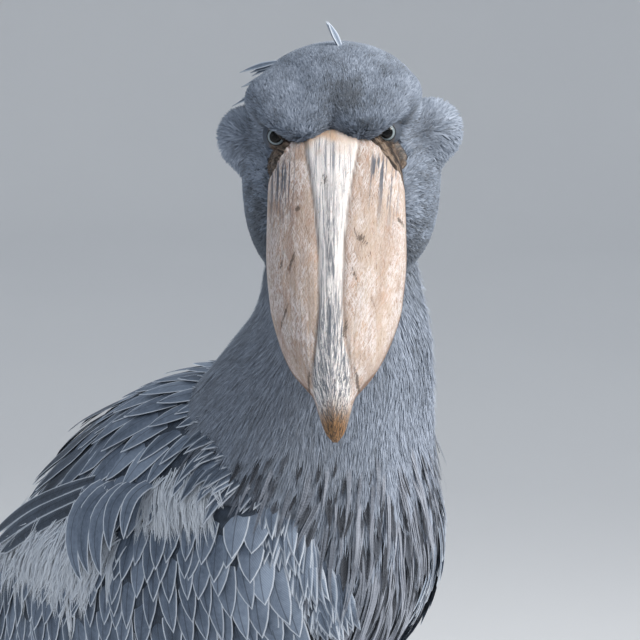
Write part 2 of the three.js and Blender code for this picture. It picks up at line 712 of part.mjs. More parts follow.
for (const side of [-1, 1]) {
  const name = side < 0 ? "right" : "left";
  const wing = feathered(solid(wingGeometry(side)), wingFeathers(side)).subtract(torsoCut);
  put("wing_" + name, wing.subtract(neckCut).subtract(mantleCut).subtract(tailCut), "plumage");
  const wingCut = grown(wingGeometry(side), THIGH_ROOM);
  const thigh = solid(thighGeometry(side)).subtract(torsoCut).subtract(wingCut);
  put("thigh_" + name, thigh, "plumage");
  const shank = solid(shankGeometry(side)).add(solid(hubGeometry(side)));
  put("shank_" + name, shank.subtract(grown(thighGeometry(side))), "leg");
  let taken = grown(shankGeometry(side)).add(grown(hubGeometry(side)));
  for (const [toe, sizes] of Object.entries(TOES)) {
    put("toe_" + toe + "_" + name, solid(toeGeometry(side, sizes)).subtract(taken), "leg");
    taken = taken.add(grown(toeGeometry(side, sizes)));
  }
}

const bird = new THREE.Group();
bird.name = "shoebill";
for (const [name, { shape, colour }] of parts) {
  const [hex, roughness] = COLOURS[colour];
  const finish = new THREE.MeshStandardMaterial({ color: hex, roughness, metalness: 0 });
  const mesh = new THREE.Mesh(geometryOf(shape), finish);
  mesh.name = name;
  bird.add(mesh);
}

// The origin is on the floor, under the middle of the bird's box.
const box = new THREE.Box3().setFromObject(bird);
const middle = box.getCenter(v3());
bird.position.set(-middle.x, -middle.y, -box.min.z);

export default bird;
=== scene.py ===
"""A life-size shoebill, dressed in plumage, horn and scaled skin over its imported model.

Sizes are in millimetres in the bird's own frame until a mesh is made, when they turn to metres in
the row's frame.
"""

import logging
import math
from dataclasses import dataclass
from enum import Enum
from functools import partial
from typing import Callable, Optional, Sequence

import bmesh
import bpy
import numpy as np
from mathutils import Matrix, Vector, kdtree


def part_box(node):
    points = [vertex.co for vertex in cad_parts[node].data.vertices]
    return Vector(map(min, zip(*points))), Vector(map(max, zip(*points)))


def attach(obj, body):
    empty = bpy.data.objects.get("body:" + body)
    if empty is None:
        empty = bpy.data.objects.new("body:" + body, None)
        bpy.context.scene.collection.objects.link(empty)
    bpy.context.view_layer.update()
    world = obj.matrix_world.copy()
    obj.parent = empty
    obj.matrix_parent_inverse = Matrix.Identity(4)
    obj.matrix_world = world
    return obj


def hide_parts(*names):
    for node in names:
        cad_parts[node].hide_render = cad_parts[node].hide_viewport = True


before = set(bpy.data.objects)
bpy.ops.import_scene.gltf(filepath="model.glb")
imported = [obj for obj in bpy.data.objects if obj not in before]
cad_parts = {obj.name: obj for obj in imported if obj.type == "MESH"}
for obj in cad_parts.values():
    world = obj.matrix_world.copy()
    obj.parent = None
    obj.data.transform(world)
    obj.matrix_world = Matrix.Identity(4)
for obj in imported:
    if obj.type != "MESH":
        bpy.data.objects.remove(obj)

Array = np.ndarray
Stops = Sequence[tuple[float, float]]

log = logging.getLogger("shoebill")

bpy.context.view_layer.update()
MM = 0.001
SEED = 4711


class Side(Enum):
    """The two sides of the bird, by the sign of x."""

    RIGHT = -1
    LEFT = 1

    @property
    def word(self) -> str:
        """The side's word in node names."""
        return self.name.lower()

    @property
    def flip(self) -> Array:
        """What takes a place on the left to the same place on this side."""
        return np.array([self.value, 1, 1.0])


class Curve:
    """A smooth curve through places and values that never swings past them."""

    def __init__(self, stops: Stops) -> None:
        """Takes the stops.

        Args:
            stops: pairs of place and value, in rising places.
        """
        self.places = np.array([place for place, _ in stops], float)
        self.values = np.array([value for _, value in stops], float)
        rise = np.diff(self.values) / np.diff(self.places)
        self.slopes = np.concatenate([rise[:1], np.zeros(len(rise) - 1), rise[-1:]])
        for i in range(1, len(rise)):
            a, b = rise[i - 1], rise[i]
            self.slopes[i] = 2 * a * b / (a + b) if a * b > 0 else 0.0

    def __call__(self, at: Array) -> Array:
        """The curve's value.

        Args:
            at: places, of any shape.

        Returns:
            The values there, level past both ends.
        """
        at = np.clip(at, self.places[0], self.places[-1])
        i = np.clip(np.searchsorted(self.places, at, side="right") - 1, 0, len(self.places) - 2)
        span = self.places[i + 1] - self.places[i]
        u = (at - self.places[i]) / span
        a, b = self.values[i], self.values[i + 1]
        bow = (1 - u) * self.slopes[i] - u * self.slopes[i + 1]
        return a + (b - a) * u * u * (3 - 2 * u) + span * u * (1 - u) * bow


def unit(v: Array) -> Array:
    """Vectors at length one."""
    return v / np.maximum(np.linalg.norm(v, axis=-1, keepdims=True), 1e-9)


def smooth(low: float, high: float, value: Array) -> Array:
    """A soft step from 0 at low to 1 at high."""
    u = np.clip((value - low) / (high - low), 0, 1)
    return u * u * (3 - 2 * u)


def rows_of(*columns: Array) -> Array:
    """Columns side by side as rows, with single numbers filled out."""
    return np.stack(np.broadcast_arrays(*columns), -1)


def blended(a: Array, b: Array, soft: float) -> Array:
    """The lesser of two distances, rounded where they meet."""
    near = np.maximum(soft - np.abs(a - b), 0) / soft
    return np.minimum(a, b) - near * near * soft / 4


def ripple(p: Array, grain: float, seed: int) -> Array:
    """Smooth noise from a few crossing waves.

    Args:
        p: points.
        grain: rough size of a patch, in millimetres.
        seed: which noise.

    Returns:
        Values from about -1 to 1.
    """
    rng = np.random.default_rng(seed)
    total = np.zeros(p.shape[:-1])
    for _ in range(7):
        wave = rng.normal(size=3) * (2.2 / grain)
        bend = rng.normal(size=3) * (1.1 / grain)
        total += np.sin(p @ wave + 1.7 * np.sin(p @ bend + rng.uniform(0, 6.28)) + rng.uniform(0, 6.28))
    return total / 3.2


def domed(share: Array, end: float) -> Array:
    """How wide a form with rounded ends is at shares of its length, each end a share of its half."""
    return np.sqrt(np.clip(1 - np.maximum(np.abs(2 * share - 1) - (1 - end), 0) ** 2 / end**2, 0, 1))


@dataclass(frozen=True)
class Body:
    """The body's envelope: t runs from breast 0 to rump 1, and an angle goes down from the spine."""

    breast: tuple[float, float, float] = (0, -202, 800)
    rump: tuple[float, float, float] = (0, 260, 590)
    arch: float = 20
    nose_share: float = 0.21
    end: float = 1.1
    close_from: float = 0.85
    width: Curve = Curve([(0, 100), (0.21, 106), (0.4, 116), (0.55, 114), (0.75, 98), (0.88, 82), (1, 66), (1.5, 36)])
    back: Curve = Curve([(0, 99), (0.21, 108), (0.4, 116), (0.55, 112), (0.75, 90), (0.88, 73), (1, 56), (1.5, 20)])
    belly: Curve = Curve([(0, 100), (0.21, 125), (0.4, 140), (0.55, 130), (0.75, 94), (0.88, 66), (1, 44), (1.5, 20)])

    @property
    def axis(self) -> Array:
        """Direction from the breast to the rump."""
        return unit(np.subtract(self.rump, self.breast))

    @property
    def up(self) -> Array:
        """Direction from the body's line to the spine."""
        return np.array([0, -self.axis[2], self.axis[1]])

    @property
    def length(self) -> float:
        """Distance from t 0 to t 1."""
        return float(np.linalg.norm(np.subtract(self.rump, self.breast)))

    def centre(self, t: Array) -> Array:
        """Points on the body's line at t."""
        t = np.asarray(t, float)
        line = np.array(self.breast) + np.subtract(self.rump, self.breast) * t[..., None]
        return line + np.array([0, 0, self.arch]) * np.sin(math.pi * np.clip(t, 0, 1))[..., None]

    def on(self, t: Array, angle: Array) -> Array:
        """Points on the envelope at t and an angle in radians."""
        t = np.asarray(t, float)
        fall = 1 - np.clip(t / self.nose_share, 0, 1)
        nose = np.sqrt(np.maximum(1 - fall * fall, 0))
        high = np.where(np.cos(angle) > 0, self.back(t), self.belly(t)) * nose
        rise = self.up * (np.cos(angle) * high)[..., None]
        aside = rows_of(self.width(t) * nose * np.sin(angle), 0, 0)
        return self.centre(t) + rise + aside

    def out(self, t: Array, angle: Array) -> Array:
        """Outward directions of the envelope at t and an angle in radians."""
        at = np.maximum(t, 0.012)
        back = self.on(at + 0.004, angle) - self.on(at - 0.004, angle)
        side = self.on(at, angle + 0.02) - self.on(at, angle - 0.02)
        return unit(np.cross(side, back))

    def distance(self, p: Array) -> Array:
        """Rough distance of points from the body's closed form, negative inside."""
        t = (p - np.array(self.breast)) @ self.axis / self.length
        q = p - self.centre(t)
        rise = q @ self.up
        high = np.where(rise > 0, self.back(t), self.belly(t))
        front = np.maximum(1 - t / self.nose_share, 0)
        rear = np.maximum((t - self.close_from) / (self.end - self.close_from), 0)
        ends = np.where(t < self.nose_share, front, rear)
        near = np.sqrt(ends**2 + (q[..., 0] / self.width(t)) ** 2 + (rise / high) ** 2)
        return (near - 1) * 105


@dataclass(frozen=True)
class Limb:
    """A round limb along a path, with its radius at shares of the path's length."""

    path: tuple[tuple[float, float, float], ...]
    radius: Curve
    steps: int = 26

    def points(self) -> Array:
        """Points evenly along a smooth curve through the path."""
        knots = np.array(self.path, float)
        padded = np.vstack([2 * knots[0] - knots[1], knots, 2 * knots[-1] - knots[-2]])
        fine = []
        for i in range(len(knots) - 1):
            a, b, c, d = padded[i : i + 4]
            gaps = [max(np.linalg.norm(y - x), 1e-6) ** 0.5 for x, y in ((a, b), (b, c), (c, d))]
            m = (c - b) + gaps[1] * ((b - a) / gaps[0] - (c - a) / (gaps[0] + gaps[1]))
            n = (c - b) + gaps[1] * ((d - c) / gaps[2] - (d - b) / (gaps[1] + gaps[2]))
            u = np.linspace(0, 1, 24, endpoint=False)[:, None]
            fine.append((2 * (b - c) + m + n) * u**3 + (-3 * (b - c) - 2 * m - n) * u**2 + m * u + b)
        line = np.vstack([*fine, knots[-1:]])
        run = np.concatenate([[0], np.cumsum(np.linalg.norm(np.diff(line, axis=0), axis=1))])
        at = np.linspace(0, run[-1], self.steps + 1)
        return np.stack([np.interp(at, run, line[:, k]) for k in range(3)], -1)

    def distance(self, p: Array) -> Array:
        """Distance of points from the limb's surface, negative inside."""
        line = self.points()
        size = self.radius(np.linspace(0, 1, len(line)))
        best = np.full(len(p), 1e9)
        for a, b, low, high in zip(line[:-1], line[1:], size[:-1], size[1:]):
            leg = b - a
            u = np.clip((p - a) @ leg / (leg @ leg), 0, 1)
            gap = np.linalg.norm(p - a - u[:, None] * leg, axis=1) - (low + (high - low) * u)
            best = np.minimum(best, gap)
        return best


@dataclass(frozen=True)
class Head:
    """The head's place and masses, in a frame of its own with the bill along -Y."""

    at: tuple[float, float, float] = (-26, -168, 1105)
    yaw: float = -51
    roll: float = -5
    pitch: float = 54
    twist: float = 4
    eye: tuple[float, float, float] = (41, -41, 11)
    eye_radius: float = 10
    gaze: tuple[float, float, float] = (0.08, -0.62, 0.74)
    masses: tuple = (((0, -29, 25), (20, 16, 12)), ((4, -9, -1), (57, 40, 41)), ((-6, -8, -6), (56, 38, 38)),
                     ((0, 12, -36), (53, 38, 48)), ((0, -50, -58), (52, 62, 42)))
    pairs: tuple = (((21, -37, 25), (19, 22, 12)), ((44, -20, 21), (20, 19, 14)), ((38, -40, 28), (11, 11, 4)),
                    ((41, -49, -53), (32, 71, 42)),
                    ((68.5, -18, -34), (20.5, 22, 21)))
    hollow: tuple = ((50, -56, 10), (17, 17, 14))

    @property
    def matrix(self) -> Matrix:
        """From the head's frame to the bird's."""
        turn = Matrix.Rotation(math.radians(self.yaw), 4, "Z") @ Matrix.Rotation(math.radians(self.roll), 4, "Y")
        turn = turn @ Matrix.Rotation(math.radians(self.pitch), 4, "X")
        return Matrix.Translation(self.at) @ turn @ Matrix.Rotation(math.radians(self.twist), 4, "Y")

    def posed(self, p: Array) -> Array:
        """Points of the head's frame, in the bird's."""
        m = np.array(self.matrix)
        return p @ m[:3, :3].T + m[:3, 3]

    def turned(self, v: Array) -> Array:
        """Directions of the head's frame, in the bird's."""
        return v @ np.array(self.matrix)[:3, :3].T

    def local(self, p: Array) -> Array:
        """Points of the bird's frame, in the head's."""
        m = np.array(self.matrix)
        return (p - m[:3, 3]) @ m[:3, :3]

    def ellipsoid(self, p: Array, centre: Sequence[float], size: Sequence[float]) -> Array:
        """Rough distance of points from an ellipsoid."""
        q = p - np.array(centre, float)
        near = np.linalg.norm(q / np.array(size), axis=-1)
        far = np.linalg.norm(q / np.array(size) ** 2, axis=-1)
        return near * (near - 1) / np.maximum(far, 1e-6)

    def distance(self, p: Array) -> Array:
        """Rough distance of points in the bird's frame from the head's form."""
        q = self.local(p)
        mirrored = q.copy()
        mirrored[..., 0] = np.abs(q[..., 0])
        near = np.full(q.shape[:-1], 1e9)
        for centre, size in self.masses:
            near = blended(near, self.ellipsoid(q, centre, size), 16)
        for centre, size in self.pairs:
            near = blended(near, self.ellipsoid(mirrored, centre, size), 12)
        return -blended(-near, self.ellipsoid(mirrored, *self.hollow), 8)


@dataclass
class Flesh:
    """The bird's bare form as one blended distance."""

    body: Body
    head: Head
    neck: Limb
    thigh: Limb

    def distance(self, p: Array) -> Array:
        """Rough distance of points from the bare form, negative inside."""
        flat = p.reshape(-1, 3)
        folded = flat.copy()
        folded[:, 0] = np.abs(flat[:, 0])
        near = blended(self.body.distance(flat), self.neck.distance(flat), 46)
        near = blended(near, self.head.distance(flat), 16)
        return blended(near, self.thigh.distance(folded), 26).reshape(p.shape[:-1])

    def slope(self, p: Array) -> Array:
        """How the distance rises from each point, as a vector."""
        step = 0.8
        total = np.zeros_like(p)
        for corner in ((1, -1, -1), (-1, -1, 1), (-1, 1, -1), (1, 1, 1)):
            way = np.array(corner, float)
            total += way * self.distance(p + way * step)[..., None]
        return total / (4 * step)

    def settle(self, p: Array, level: Array, rounds: int = 2) -> tuple[Array, Array]:
        """Moves points to a level of the form.

        Args:
            p: points near the form.
            level: millimetres outside it, one number or one a point.
            rounds: how often to step.

        Returns:
            The moved points and the outward directions there.
        """
        for _ in range(rounds):
            rise = self.slope(p)
            size = np.maximum((rise * rise).sum(-1), 0.05)
            p = p - rise * ((self.distance(p) - level) / size)[..., None]
        return p, unit(rise)


@dataclass
class Markings:
    """The bird's colouring by place, which skin and coat share, with painted light and shade in its tone."""

    head: Head

    def bare(self, p: Array) -> Array:
        """1 on the naked skin round the eyes and beside the bill, 0 in the plumage."""
        q = self.head.local(p)
        x, y, z = np.abs(q[..., 0]), q[..., 1], q[..., 2]
        lore = np.sqrt(((x - 41) / 15) ** 2 + ((y + 55) / 17) ** 2 + ((z + 3) / 17) ** 2)
        rim = np.linalg.norm(rows_of(x - 41, y + 43, z - 10), axis=-1) / 14.5
        below = smooth(17, 12, z + 0.1 * (x - 41))
        return np.maximum(smooth(1.15, 0.85, lore), smooth(1.1, 0.85, rim)) * below

    def tone(self, p: Array) -> Array:
        """How pale the plumage is, from 0 dark slate to 1 pale grey, with painted light and shade."""
        q = self.head.local(p)
        tone = 0.5 + 0.1 * ripple(p, 46, 3) + 0.08 * ripple(p, 15, 4) + 0.06 * ripple(p, 7, 5)
        on_head = smooth(20, 60, self.head.distance(p) * -1 + 60)
        crown = np.exp(-(((q[..., 0] - 10) / 13) ** 2) - ((q[..., 1] + 34) / 13) ** 2) * smooth(0, 24, q[..., 2])
        chin = smooth(-4, -40, q[..., 2]) * smooth(26, 50, np.abs(q[..., 0])) * smooth(72, 62, np.abs(q[..., 0]))
        tone = tone - on_head * (0.8 * crown + 0.32 * chin + 0.05) + 0.07 * on_head * ripple(q, 10, 19)
        breast = smooth(930, 800, p[..., 2]) * smooth(-120, -190, p[..., 1])
        flank = smooth(700, 560, p[..., 2])
        # Painted shade: the neck darkens on its side away from the key light.
        shaded_neck = smooth(740, 800, p[..., 2]) * smooth(1050, 970, p[..., 2]) * smooth(10, -60, p[..., 0])
        # Painted light: pale rises towards the side the key light falls on, and lightens the breast there.
        pale = smooth(-60, 40, p[..., 0] + 0.12 * (p[..., 2] - 900))
        # Painted light: the neck lightens on its lit side.
        lit_neck = smooth(20, 60, p[..., 0]) * smooth(1070, 1010, p[..., 2]) * smooth(850, 900, p[..., 2])
        # Painted shadow: the plumage darkens in the hollow under the brow, beside the eye.
        brow_shadow = rows_of((np.abs(q[..., 0]) - 50) / 13, (q[..., 1] + 36) / 15, (q[..., 2] - 12) / 10)
        tone = tone + 0.4 * breast * pale + 0.12 * flank - 0.36 * shaded_neck * (1 - pale) + 0.46 * lit_neck
        tone = tone - 0.5 * np.exp(-(brow_shadow**2).sum(-1))
        return np.clip(tone, 0, 1)


class Unwrap:
    """Places on the skin laid flat: along the line from tail to crown, and round it."""

    def __init__(self, body: Body, neck: Limb) -> None:
        """Builds the line through the body and neck."""
        spine = body.centre(np.linspace(1.45, 0.16, 14))
        self.line = np.vstack([spine, neck.points()[4:], [[-20, -150, 1135], [-24, -160, 1165]]])

    def place(self, p: Array) -> Array:
        """Where points lie on the flat skin, each number from 0 to 1."""
        best = np.full(len(p), 1e9)
        along, round_ = np.zeros(len(p)), np.zeros(len(p))
        total = len(self.line) - 1
        for i, (a, b) in enumerate(zip(self.line[:-1], self.line[1:])):
            leg = b - a
            u = np.clip((p - a) @ leg / (leg @ leg), 0, 1)
            gap = p - a - u[:, None] * leg
            size = np.linalg.norm(gap, axis=1)
            front = unit(np.cross(leg, [1.0, 0, 0]))
            near = size < best
            best = np.where(near, size, best)
            along = np.where(near, (i + u) / total, along)
            round_ = np.where(near, np.arctan2(gap[:, 0], gap @ front) / (2 * math.pi) + 0.5, round_)
        return rows_of(round_, along)


@dataclass
class Routes:
    """Where feathers lie: their spots from root to tip, the outward directions, and their sizes."""

    spots: Array
    outs: Array
    half: Array
    tint: Array

    def mirrored(self, side: Side) -> "Routes":
        """The same routes on one side of the bird."""
        return Routes(self.spots * side.flip, self.outs * side.flip, self.half, self.tint)


@dataclass(frozen=True)
class Cut:
    """How a feather's vane is cut."""

    full: Curve
    across: int = 4
    bend: float = 90
    ridge: float = 0.5
    fray: float = 0.0


COVERT_CUT = Cut(Curve([(0, 0.55), (0.25, 0.93), (0.48, 1), (0.7, 0.83), (0.87, 0.47), (1, 0.02)]))
LANCE_CUT = Cut(Curve([(0, 0.5), (0.25, 0.9), (0.42, 1), (0.65, 0.78), (0.85, 0.38), (1, 0.02)]), fray=0.04)
PLUME_CUT = Cut(Curve([(0, 0.5), (0.25, 0.95), (0.45, 1), (0.7, 0.7), (0.88, 0.34), (1, 0.02)]), fray=0.09, bend=40)
FLIGHT_CUT = Cut(Curve([(0, 0.6), (0.3, 0.9), (0.7, 1), (0.88, 0.86), (0.96, 0.55), (1, 0.06)]), bend=60, ridge=0.8)
TUFT_CUT = Cut(Curve([(0, 0.7), (0.45, 1), (1, 0.08)]), across=1, ridge=0)
STRAND_CUT = Cut(Curve([(0, 0.6), (0.35, 1), (0.7, 0.75), (1, 0.06)]), across=1, ridge=0)


class Sheet:
    """Feathers gathered into one mesh."""

    def __init__(self, unwrap: Unwrap, shift: Array) -> None:
        """Starts with no feathers."""
        self.unwrap, self.shift = unwrap, shift
        self.verts: list[Array] = []
        self.quads: list[Array] = []
        self.lay: list[Array] = []
        self.tint: list[Array] = []
        self.bake: list[Array] = []
        self.normals: list[Array] = []
        self.total = 0

    def grow(self, routes: Routes, cut: Cut, rng: np.random.Generator, soft: float = 0.0) -> None:
        """Adds a vane along each route.

        Args:
            routes: where the feathers lie.
            cut: how they are cut.
            rng: the source of their small differences.
            soft: how far their shading follows the body in place of the vane, 0 to 1.
        """
        n, k, _ = routes.spots.shape
        m = cut.across + 1
        u = np.linspace(0, 1, k)
        v = np.linspace(-1, 1, m)
        tangent = unit(np.gradient(routes.spots, axis=1))
        side = unit(np.cross(routes.outs, tangent))
        width = routes.half[:, None] * cut.full(u)[None, :]
        reach = width[:, :, None] * v
        if cut.fray:
            ragged = 1 + cut.fray * rng.normal(size=reach.shape) * np.abs(v) ** 3
            reach = reach * np.clip(ragged, 0.4, 1.5)
        height = cut.ridge * (1 - np.abs(v)) - reach**2 / (2 * cut.bend)
        spots = routes.spots[:, :, None, :] + side[:, :, None, :] * reach[..., None]
        spots = spots + routes.outs[:, :, None, :] * height[..., None]
        steps = np.linalg.norm(np.diff(routes.spots, axis=1), axis=2)
        run = np.concatenate([np.zeros((n, 1)), np.cumsum(steps, axis=1)], axis=1)
        edge = np.maximum(width[:, :, None] - np.abs(reach), 0)
        lay = rows_of(np.broadcast_to(run[:, :, None], reach.shape), reach, edge)
        root = self.unwrap.place(routes.spots[:, 0])
        patch = rows_of(np.broadcast_to((v + 1) / 2, (k, m)), np.broadcast_to(u[:, None], (k, m)))
        bake = np.clip(root, 0, 1)[:, None, None, :] * 0.996 + 0.003 * patch[None]
        first = self.total + np.arange(n)[:, None, None] * (k * m)
        corner = first + np.arange(k - 1)[None, :, None] * m + np.arange(m - 1)[None, None, :]
        quads = rows_of(corner, corner + m, corner + m + 1, corner + 1)
        face = unit(np.cross(tangent, side))[:, :, None, :] + 0 * reach[..., None]
        lean = unit(face * (1 - soft) + routes.outs[:, :, None, :] * soft)
        self.verts.append(spots.reshape(-1, 3))
        self.quads.append(quads.reshape(-1, 4))
        self.lay.append(lay.reshape(-1, 3))
        self.bake.append(bake.reshape(-1, 2))
        self.normals.append(lean.reshape(-1, 3))
        tint = routes.tint
        if tint.ndim == 2:
            tint = np.broadcast_to(tint[:, None, :], (n, k, 3))
        self.tint.append(np.broadcast_to(tint[:, :, None, :], (n, k, m, 3)).reshape(-1, 3))
        self.total += n * k * m

    def make(self, name: str, soft_normals: bool = False) -> bpy.types.Object:
        """Turns the gathered feathers into one object.

        Args:
            name: the piece's name.
            soft_normals: whether the shading is the one kept in grow.

        Returns:
            The object, in metres in the row's frame.
        """
        verts = (np.vstack(self.verts) + self.shift) * MM
        quads = np.vstack(self.quads).astype(np.int32)
        mesh = bpy.data.meshes.new(name)
        mesh.vertices.add(len(verts))
        mesh.vertices.foreach_set("co", verts.astype(np.float32).ravel())
        mesh.loops.add(quads.size)
        mesh.loops.foreach_set("vertex_index", quads.ravel())
        mesh.polygons.add(len(quads))
        mesh.polygons.foreach_set("loop_start", np.arange(0, quads.size, 4, dtype=np.int32))
        mesh.update(calc_edges=True)
        mesh.shade_smooth()
        marked(mesh, lay=np.vstack(self.lay), tint=np.vstack(self.tint))
        bake = mesh.uv_layers.new(name="OFBake")
        bake.data.foreach_set("uv", np.vstack(self.bake)[quads.ravel()].astype(np.float32).ravel())
        if soft_normals:
            mesh.normals_split_custom_set_from_vertices(np.vstack(self.normals).astype(np.float32))
        return linked(name, mesh)


def marked(mesh: bpy.types.Mesh, **marks: Array) -> None:
    """Writes three numbers a point onto a mesh, under each mark's name."""
    for name, rows in marks.items():
        layer = mesh.attributes.new(name, "FLOAT_VECTOR", "POINT")
        layer.data.foreach_set("vector", rows.astype(np.float32).ravel())


def mesh_of(name: str, form: bmesh.types.BMesh) -> bpy.types.Mesh:
    """A smooth mesh of a form, which is freed."""
    mesh = bpy.data.meshes.new(name)
    form.to_mesh(mesh)
    form.free()
    mesh.shade_smooth()
    return mesh


def linked(name: str, mesh: bpy.types.Mesh) -> bpy.types.Object:
    """A new object of a mesh, in the scene."""
    obj = bpy.data.objects.new(name, mesh)
    bpy.context.scene.collection.objects.link(obj)
    return obj


def finish_piece(obj: bpy.types.Object, material: bpy.types.Material, slot: str, *nodes: str) -> bpy.types.Object:
    """Dresses a piece and gives it its place in the frame.

    Args:
        obj: the piece.
        material: its finish.
        slot: the record's slot it belongs to; not used.
        nodes: the CAD nodes it stands for.

    Returns:
        The same piece.
    """
    obj.data.materials.clear()
    obj.data.materials.append(material)
    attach(obj, "root")
    if nodes:
        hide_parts(*nodes)
    log.info("%s: %d faces", obj.name, len(obj.data.polygons))
    return obj


def linear(code: str) -> tuple[float, float, float, float]:
    """An sRGB hex colour as the linear colour that a socket takes."""
    parts = [int(code[i : i + 2], 16) / 255 for i in (1, 3, 5)]
    made = [p / 12.92 if p <= 0.04045 else ((p + 0.055) / 1.055) ** 2.4 for p in parts]
    return (*made, 1.0)


def feed(tree: bpy.types.NodeTree, node: bpy.types.Node, values: dict) -> None:
    """Gives a node's inputs, by name or place, their numbers, hex colours or sources."""
    for key, value in values.items():
        if isinstance(value, bpy.types.NodeSocket):
            tree.links.new(value, node.inputs[key])
        else:
            node.inputs[key].default_value = linear(value) if isinstance(value, str) else value


def add(tree: bpy.types.NodeTree, kind: str, values: Optional[dict] = None) -> bpy.types.Node:
    """Adds a node with its settings and links.

    Args:
        tree: the material's nodes.
        kind: the node's kind, without its prefix.
        values: a setting, an input's number, colour or source for each name or place, and
            colour stops under "stops".

    Returns:
        The node.
    """
    node = tree.nodes.new("ShaderNode" + kind)
    for key, value in (values or {}).items():
        if key == "stops":
            ramp = node.color_ramp
            while len(ramp.elements) < len(value):
                ramp.elements.new(0.5)
            for element, (place, code) in zip(ramp.elements, value):
                element.position, element.color = place, linear(code)
        elif isinstance(key, str) and key[0].islower():
            setattr(node, key, value)
        else:
            feed(tree, node, {key: value})
    return node


def parts_of(tree: bpy.types.NodeTree, mark: str) -> list[bpy.types.NodeSocket]:
    """The three numbers that a mesh keeps at each point under a mark's name."""
    source = add(tree, "Attribute", {"attribute_name": mark}).outputs["Vector"]
    return list(add(tree, "SeparateXYZ", {0: source}).outputs)


def new_material(name: str) -> tuple[bpy.types.Material, bpy.types.NodeTree, bpy.types.Node]:
    """A material with a principled shader.

    Args:
        name: the material's name.

    Returns:
        The material, its nodes and the shader.
    """
    material = bpy.data.materials.new(name)
    material.use_nodes = True
    tree = material.node_tree
    tree.nodes.clear()
    shader = add(tree, "BsdfPrincipled")
    add(tree, "OutputMaterial", {"Surface": shader.outputs["BSDF"]})
    return material, tree, shader


def scaled(tree: bpy.types.NodeTree, source: bpy.types.NodeSocket, low: float, high: float, floor: float = 0.0,
           top: float = 1.0) -> bpy.types.NodeSocket:
    """A value taken from one range to another, held at its ends.

    Args:
        tree: the material's nodes.
        source: the value.
        low: where the range starts.
        high: where it ends.
        floor: what low turns to.
        top: what high turns to.

    Returns:
        The new value.
    """
    values = {"interpolation_type": "SMOOTHSTEP", "Value": source, "From Min": low, "From Max": high,
              "To Min": floor, "To Max": top}
    return add(tree, "MapRange", values).outputs["Result"]


def math_of(tree: bpy.types.NodeTree, what: str, *terms: object) -> bpy.types.NodeSocket:
    """One sum or product of numbers and sockets."""
    values: dict = {"operation": what}
    values.update(enumerate(terms))
    return add(tree, "Math", values).outputs[0]


def mixed(tree: bpy.types.NodeTree, share: object, a: object, b: object, how: str = "MIX") -> bpy.types.NodeSocket:
    """Two colours mixed by a share."""
    values = {"data_type": "RGBA", "blend_type": how, "clamp_factor": True, 0: share, 6: a, 7: b}
    return add(tree, "Mix", values).outputs[2]


@dataclass(frozen=True)
class Plumage:
    """Feather keratin with powder down: matt slate grey with paler, slightly worn margins.

    It gives the eye soft blue-grey vanes with a fine dark shaft and crisp pale edges.
    """

    name: str
    dark: str = "#222933"
    mid: str = "#556274"
    pale: str = "#93a1b4"
    edge: str = "#d3dbe5"
    rough: float = 0.72
    sheen: float = 0.15
    barb_mm: float = 2.3
    bump_mm: float = 0.14
    tip_pale: float = 0.0

    def make(self) -> bpy.types.Material:
        """The finish as a material."""
        material, tree, shader = new_material(self.name)
        along, across, rim = parts_of(tree, "lay")
        tone, margin, line = parts_of(tree, "tint")
        coords = add(tree, "TexCoord").outputs["Object"]
        patches = add(tree, "TexNoise", {"Vector": coords, "Scale": 38.0, "Detail": 4.0,
                                         "Roughness": 0.6}).outputs["Fac"]
        fine = add(tree, "TexNoise", {"Vector": coords, "Scale": 260.0, "Detail": 3.0,
                                      "Roughness": 0.6}).outputs["Fac"]
        blot = math_of(tree, "MULTIPLY_ADD", math_of(tree, "SUBTRACT", patches, 0.5), 0.5, tone)
        grain = math_of(tree, "MULTIPLY_ADD", math_of(tree, "SUBTRACT", fine, 0.5), 0.42, blot)
        stops = [(0.0, self.dark), (0.45, self.mid), (1.0, self.pale)]
        base = add(tree, "ValToRGB", {"stops": stops, "Fac": grain}).outputs["Color"]
        aside = math_of(tree, "ABSOLUTE", across)
        # A barb leaves the shaft at about forty degrees, so stripes follow along less 1.2 across.
        slant = math_of(tree, "MULTIPLY_ADD", aside, -1.2, along)
        wave = math_of(tree, "SINE", math_of(tree, "MULTIPLY", slant, 2 * math.pi / self.barb_mm))
        wander = math_of(tree, "MULTIPLY", wave, fine)
        barbs = mixed(tree, scaled(tree, wander, -0.6, 0.6, 0.0, 0.08), base, self.pale)
        share = math_of(tree, "DIVIDE", aside, math_of(tree, "ADD", math_of(tree, "ADD", aside, rim), 0.01))
        broad = math_of(tree, "MULTIPLY", scaled(tree, share, 0.25, 0.95), margin)
        washed = mixed(tree, broad, barbs, self.pale)
        shaft = scaled(tree, aside, 0.75, 0.2, 0.0, 0.5)
        seen = math_of(tree, "MULTIPLY", shaft, scaled(tree, rim, 0.5, 3.0))
        vane = mixed(tree, seen, washed, self.dark)
        worn = scaled(tree, math_of(tree, "MULTIPLY_ADD", fine, 1.0, rim), 1.95, 1.2)
        edged = mixed(tree, math_of(tree, "MULTIPLY", worn, line), vane, self.edge)
        tip = math_of(tree, "MULTIPLY", scaled(tree, along, 2.0, 9.0), self.tip_pale)
        tipped = mixed(tree, tip, edged, self.edge)
        height = math_of(tree, "ADD", wander, fine)
        bump = add(tree, "Bump", {"Strength": 0.5, "Distance": self.bump_mm * MM, "Height": height})
        feed(tree, shader, {"Base Color": tipped, "Normal": bump.outputs["Normal"], "Roughness": self.rough,
                            "Specular IOR Level": 0.3, "Sheen Weight": self.sheen, "Sheen Roughness": 0.45,
                            "Sheen Tint": "#c8d4e2"})
        return material


